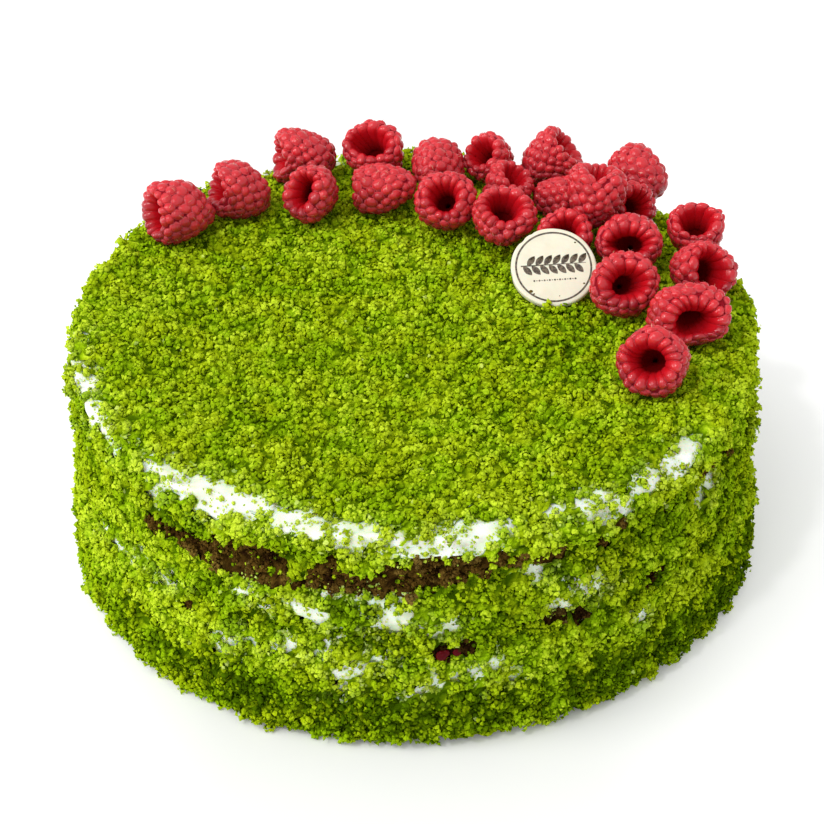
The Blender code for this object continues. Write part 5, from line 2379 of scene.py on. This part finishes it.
@dataclass
class Studio:
    """A white floor that glows beside the cake, soft light from the upper left, and the photograph's camera.

    Attributes:
        camera_place, camera_aim: Where the camera stands and where it looks, in metres.
        lens: Its focal length in millimetres.
        world_strength: How bright the surroundings are.
        floor_colour: The floor's colour.
        floor_glow: How strongly it glows, beside the cake.
        glow_start, glow_end: How far to the side the glow starts to grow and is full, in metres.
        dim_glow: The glow in the middle, as a colour.
        lights: The lamps.
        floor_size: The floor's width in metres.
    """

    camera_place: tuple[float, float, float] = (0.0, -0.5602, 0.4616)
    camera_aim: tuple[float, float, float] = (0.0, 0.0, 0.0419)
    lens: float = 102.5
    world_strength: float = 0.80
    floor_colour: Colour = (0.83, 0.83, 0.83)
    floor_glow: float = 0.26
    glow_start: float = 0.045
    glow_end: float = 0.105
    dim_glow: Colour = (0.28, 0.28, 0.28)
    lights: tuple[SoftLight, ...] = (
        SoftLight("key_light", -146.0, 50.0, 1.12, 48.0),
        SoftLight("side_light", -168.0, 18.0, 0.85, 24.0),
        SoftLight("glint_light", -132.0, 56.0, 0.50, 4.0),
    )
    floor_size: float = 8.0

    def make(self) -> None:
        """Set up the stage."""
        self._colours()
        self._floor()
        for light in self.lights:
            self._light(light)
        self._camera()

    @staticmethod
    def _colours() -> None:
        """Show the colours as they are."""
        settings = bpy.context.scene.view_settings
        settings.view_transform = "Standard"
        settings.look = "None"
        settings.exposure = 0.0
        settings.gamma = 1.0

    def _floor(self) -> None:
        """Add the floor and the white surroundings."""
        material, sheet, shader = open_material("studio_floor", Roughness=0.8, Specular_IOR_Level=0.0)
        shader.inputs["Base Color"].default_value = (*self.floor_colour, 1.0)
        shader.inputs["Emission Strength"].default_value = self.floor_glow
        parts = sheet.add("ShaderNodeSeparateXYZ")
        sheet.link(sheet.place(), parts.inputs["Vector"])
        aside = sheet.math("ABSOLUTE", parts.outputs["X"])
        beside = sheet.spread(aside, self.glow_start, self.glow_end)
        sheet.link(sheet.mix(beside, self.dim_glow, (1.0, 1.0, 1.0)), shader.inputs["Emission Color"])
        mesh = bpy.data.meshes.new("studio_floor")
        half = self.floor_size / 2
        corners = [(-half, -half, 0.0), (half, -half, 0.0), (half, half, 0.0), (-half, half, 0.0)]
        mesh.from_pydata(corners, [], [(0, 1, 2, 3)])
        mesh.materials.append(material)
        floor = bpy.data.objects.new("studio_floor", mesh)
        bpy.context.scene.collection.objects.link(floor)
        world = bpy.data.worlds.new("studio_world")
        world.use_nodes = True
        background = world.node_tree.nodes["Background"]
        background.inputs["Color"].default_value = (1.0, 1.0, 1.0, 1.0)
        background.inputs["Strength"].default_value = self.world_strength
        bpy.context.scene.world = world

    @staticmethod
    def _aimed(thing: Piece, place: Vector, aim: Vector) -> None:
        """Put a lamp or camera in the scene.

        Args:
            thing: The lamp or camera.
            place: Where it goes.
            aim: Where it looks.
        """
        thing.location = place
        thing.rotation_euler = (aim - place).to_track_quat("-Z", "Y").to_euler()
        bpy.context.scene.collection.objects.link(thing)

    def _light(self, light: SoftLight) -> None:
        """Add a lamp that shines on the cake.

        Args:
            light: The lamp's settings.
        """
        lamp = bpy.data.lights.new(light.name, "SUN")
        lamp.energy = light.strength
        lamp.angle = math.radians(light.softness)
        turn, rise = math.radians(light.azimuth), math.radians(light.elevation)
        way = Vector((math.cos(rise) * math.cos(turn), math.cos(rise) * math.sin(turn), math.sin(rise)))
        self._aimed(bpy.data.objects.new(light.name, lamp), way * 2.0, Vector())

    def _camera(self) -> None:
        """Add the camera."""
        data = bpy.data.cameras.new("photo_camera")
        data.lens = self.lens
        data.sensor_width = 36.0
        data.clip_start = 0.01
        data.clip_end = 20.0
        camera = bpy.data.objects.new("photo_camera", data)
        self._aimed(camera, Vector(self.camera_place), Vector(self.camera_aim))
        bpy.context.scene.camera = camera


def main() -> None:
    """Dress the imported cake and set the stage."""
    logging.basicConfig(level=logging.INFO, format="%(name)s: %(message)s")
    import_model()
    effects = SharedEffects.make()
    green = CrumbFinish(
        "green_crumbs",
        deep=(0.060, 0.120, 0.001),
        first=(0.278, 0.470, 0.004),
        second=(0.406, 0.535, 0.006),
        bright=(0.605, 0.785, 0.032),
        pale=(0.720, 0.800, 0.300),
    ).make(effects)
    brown = CrumbFinish(
        "brown_crumbs",
        deep=(0.020, 0.008, 0.003),
        first=(0.105, 0.058, 0.009),
        second=(0.070, 0.036, 0.006),
        bright=(0.190, 0.120, 0.025),
        pale=(0.260, 0.220, 0.070),
        patch_size=4.0,
    ).make(effects)
    cream = CreamFinish().make(effects)
    sponge = SpongeFinish().make(effects)
    flesh = DrupeletFinish().make(effects)
    hair = PatchyFinish("raspberry_hair", (0.42, 0.10, 0.06), (0.75, 0.42, 0.26), 2.0).make(effects)
    ink = PatchyFinish("edible_ink", (0.045, 0.030, 0.020), (0.16, 0.12, 0.08), 0.8).make(effects)
    glossy = DrupeletFinish(
        name="filling_flesh",
        crease=(0.03, 0.0, 0.001),
        edge=(0.10, 0.002, 0.005),
        skin=(0.085, 0.0010, 0.0035),
        ripe=(0.06, 0.0006, 0.0025),
        coat=0.15,
    ).make(effects)
    CrumbCoat(CoatMap()).make(green, brown, cream)
    for node in ("base_sponge", "middle_sponge", "top_sponge"):
        CakeLayer(node, LayerKind.SPONGE).make(sponge)
    for node in ("lower_cream", "middle_cream"):
        CakeLayer(node, LayerKind.CREAM).make(cream)
    CakeLayer("top_cream", LayerKind.CREAM, shoulder=-0.6).make(cream)
    for number, form in enumerate(BERRIES, start=1):
        Raspberry(number, form).make(flesh, hair)
    FillingBit().make(glossy)
    ChocolateDisc().make(ChocolateFinish().make(effects), ink, brown)
    Studio().make()


if __name__ == "__main__":
    main()
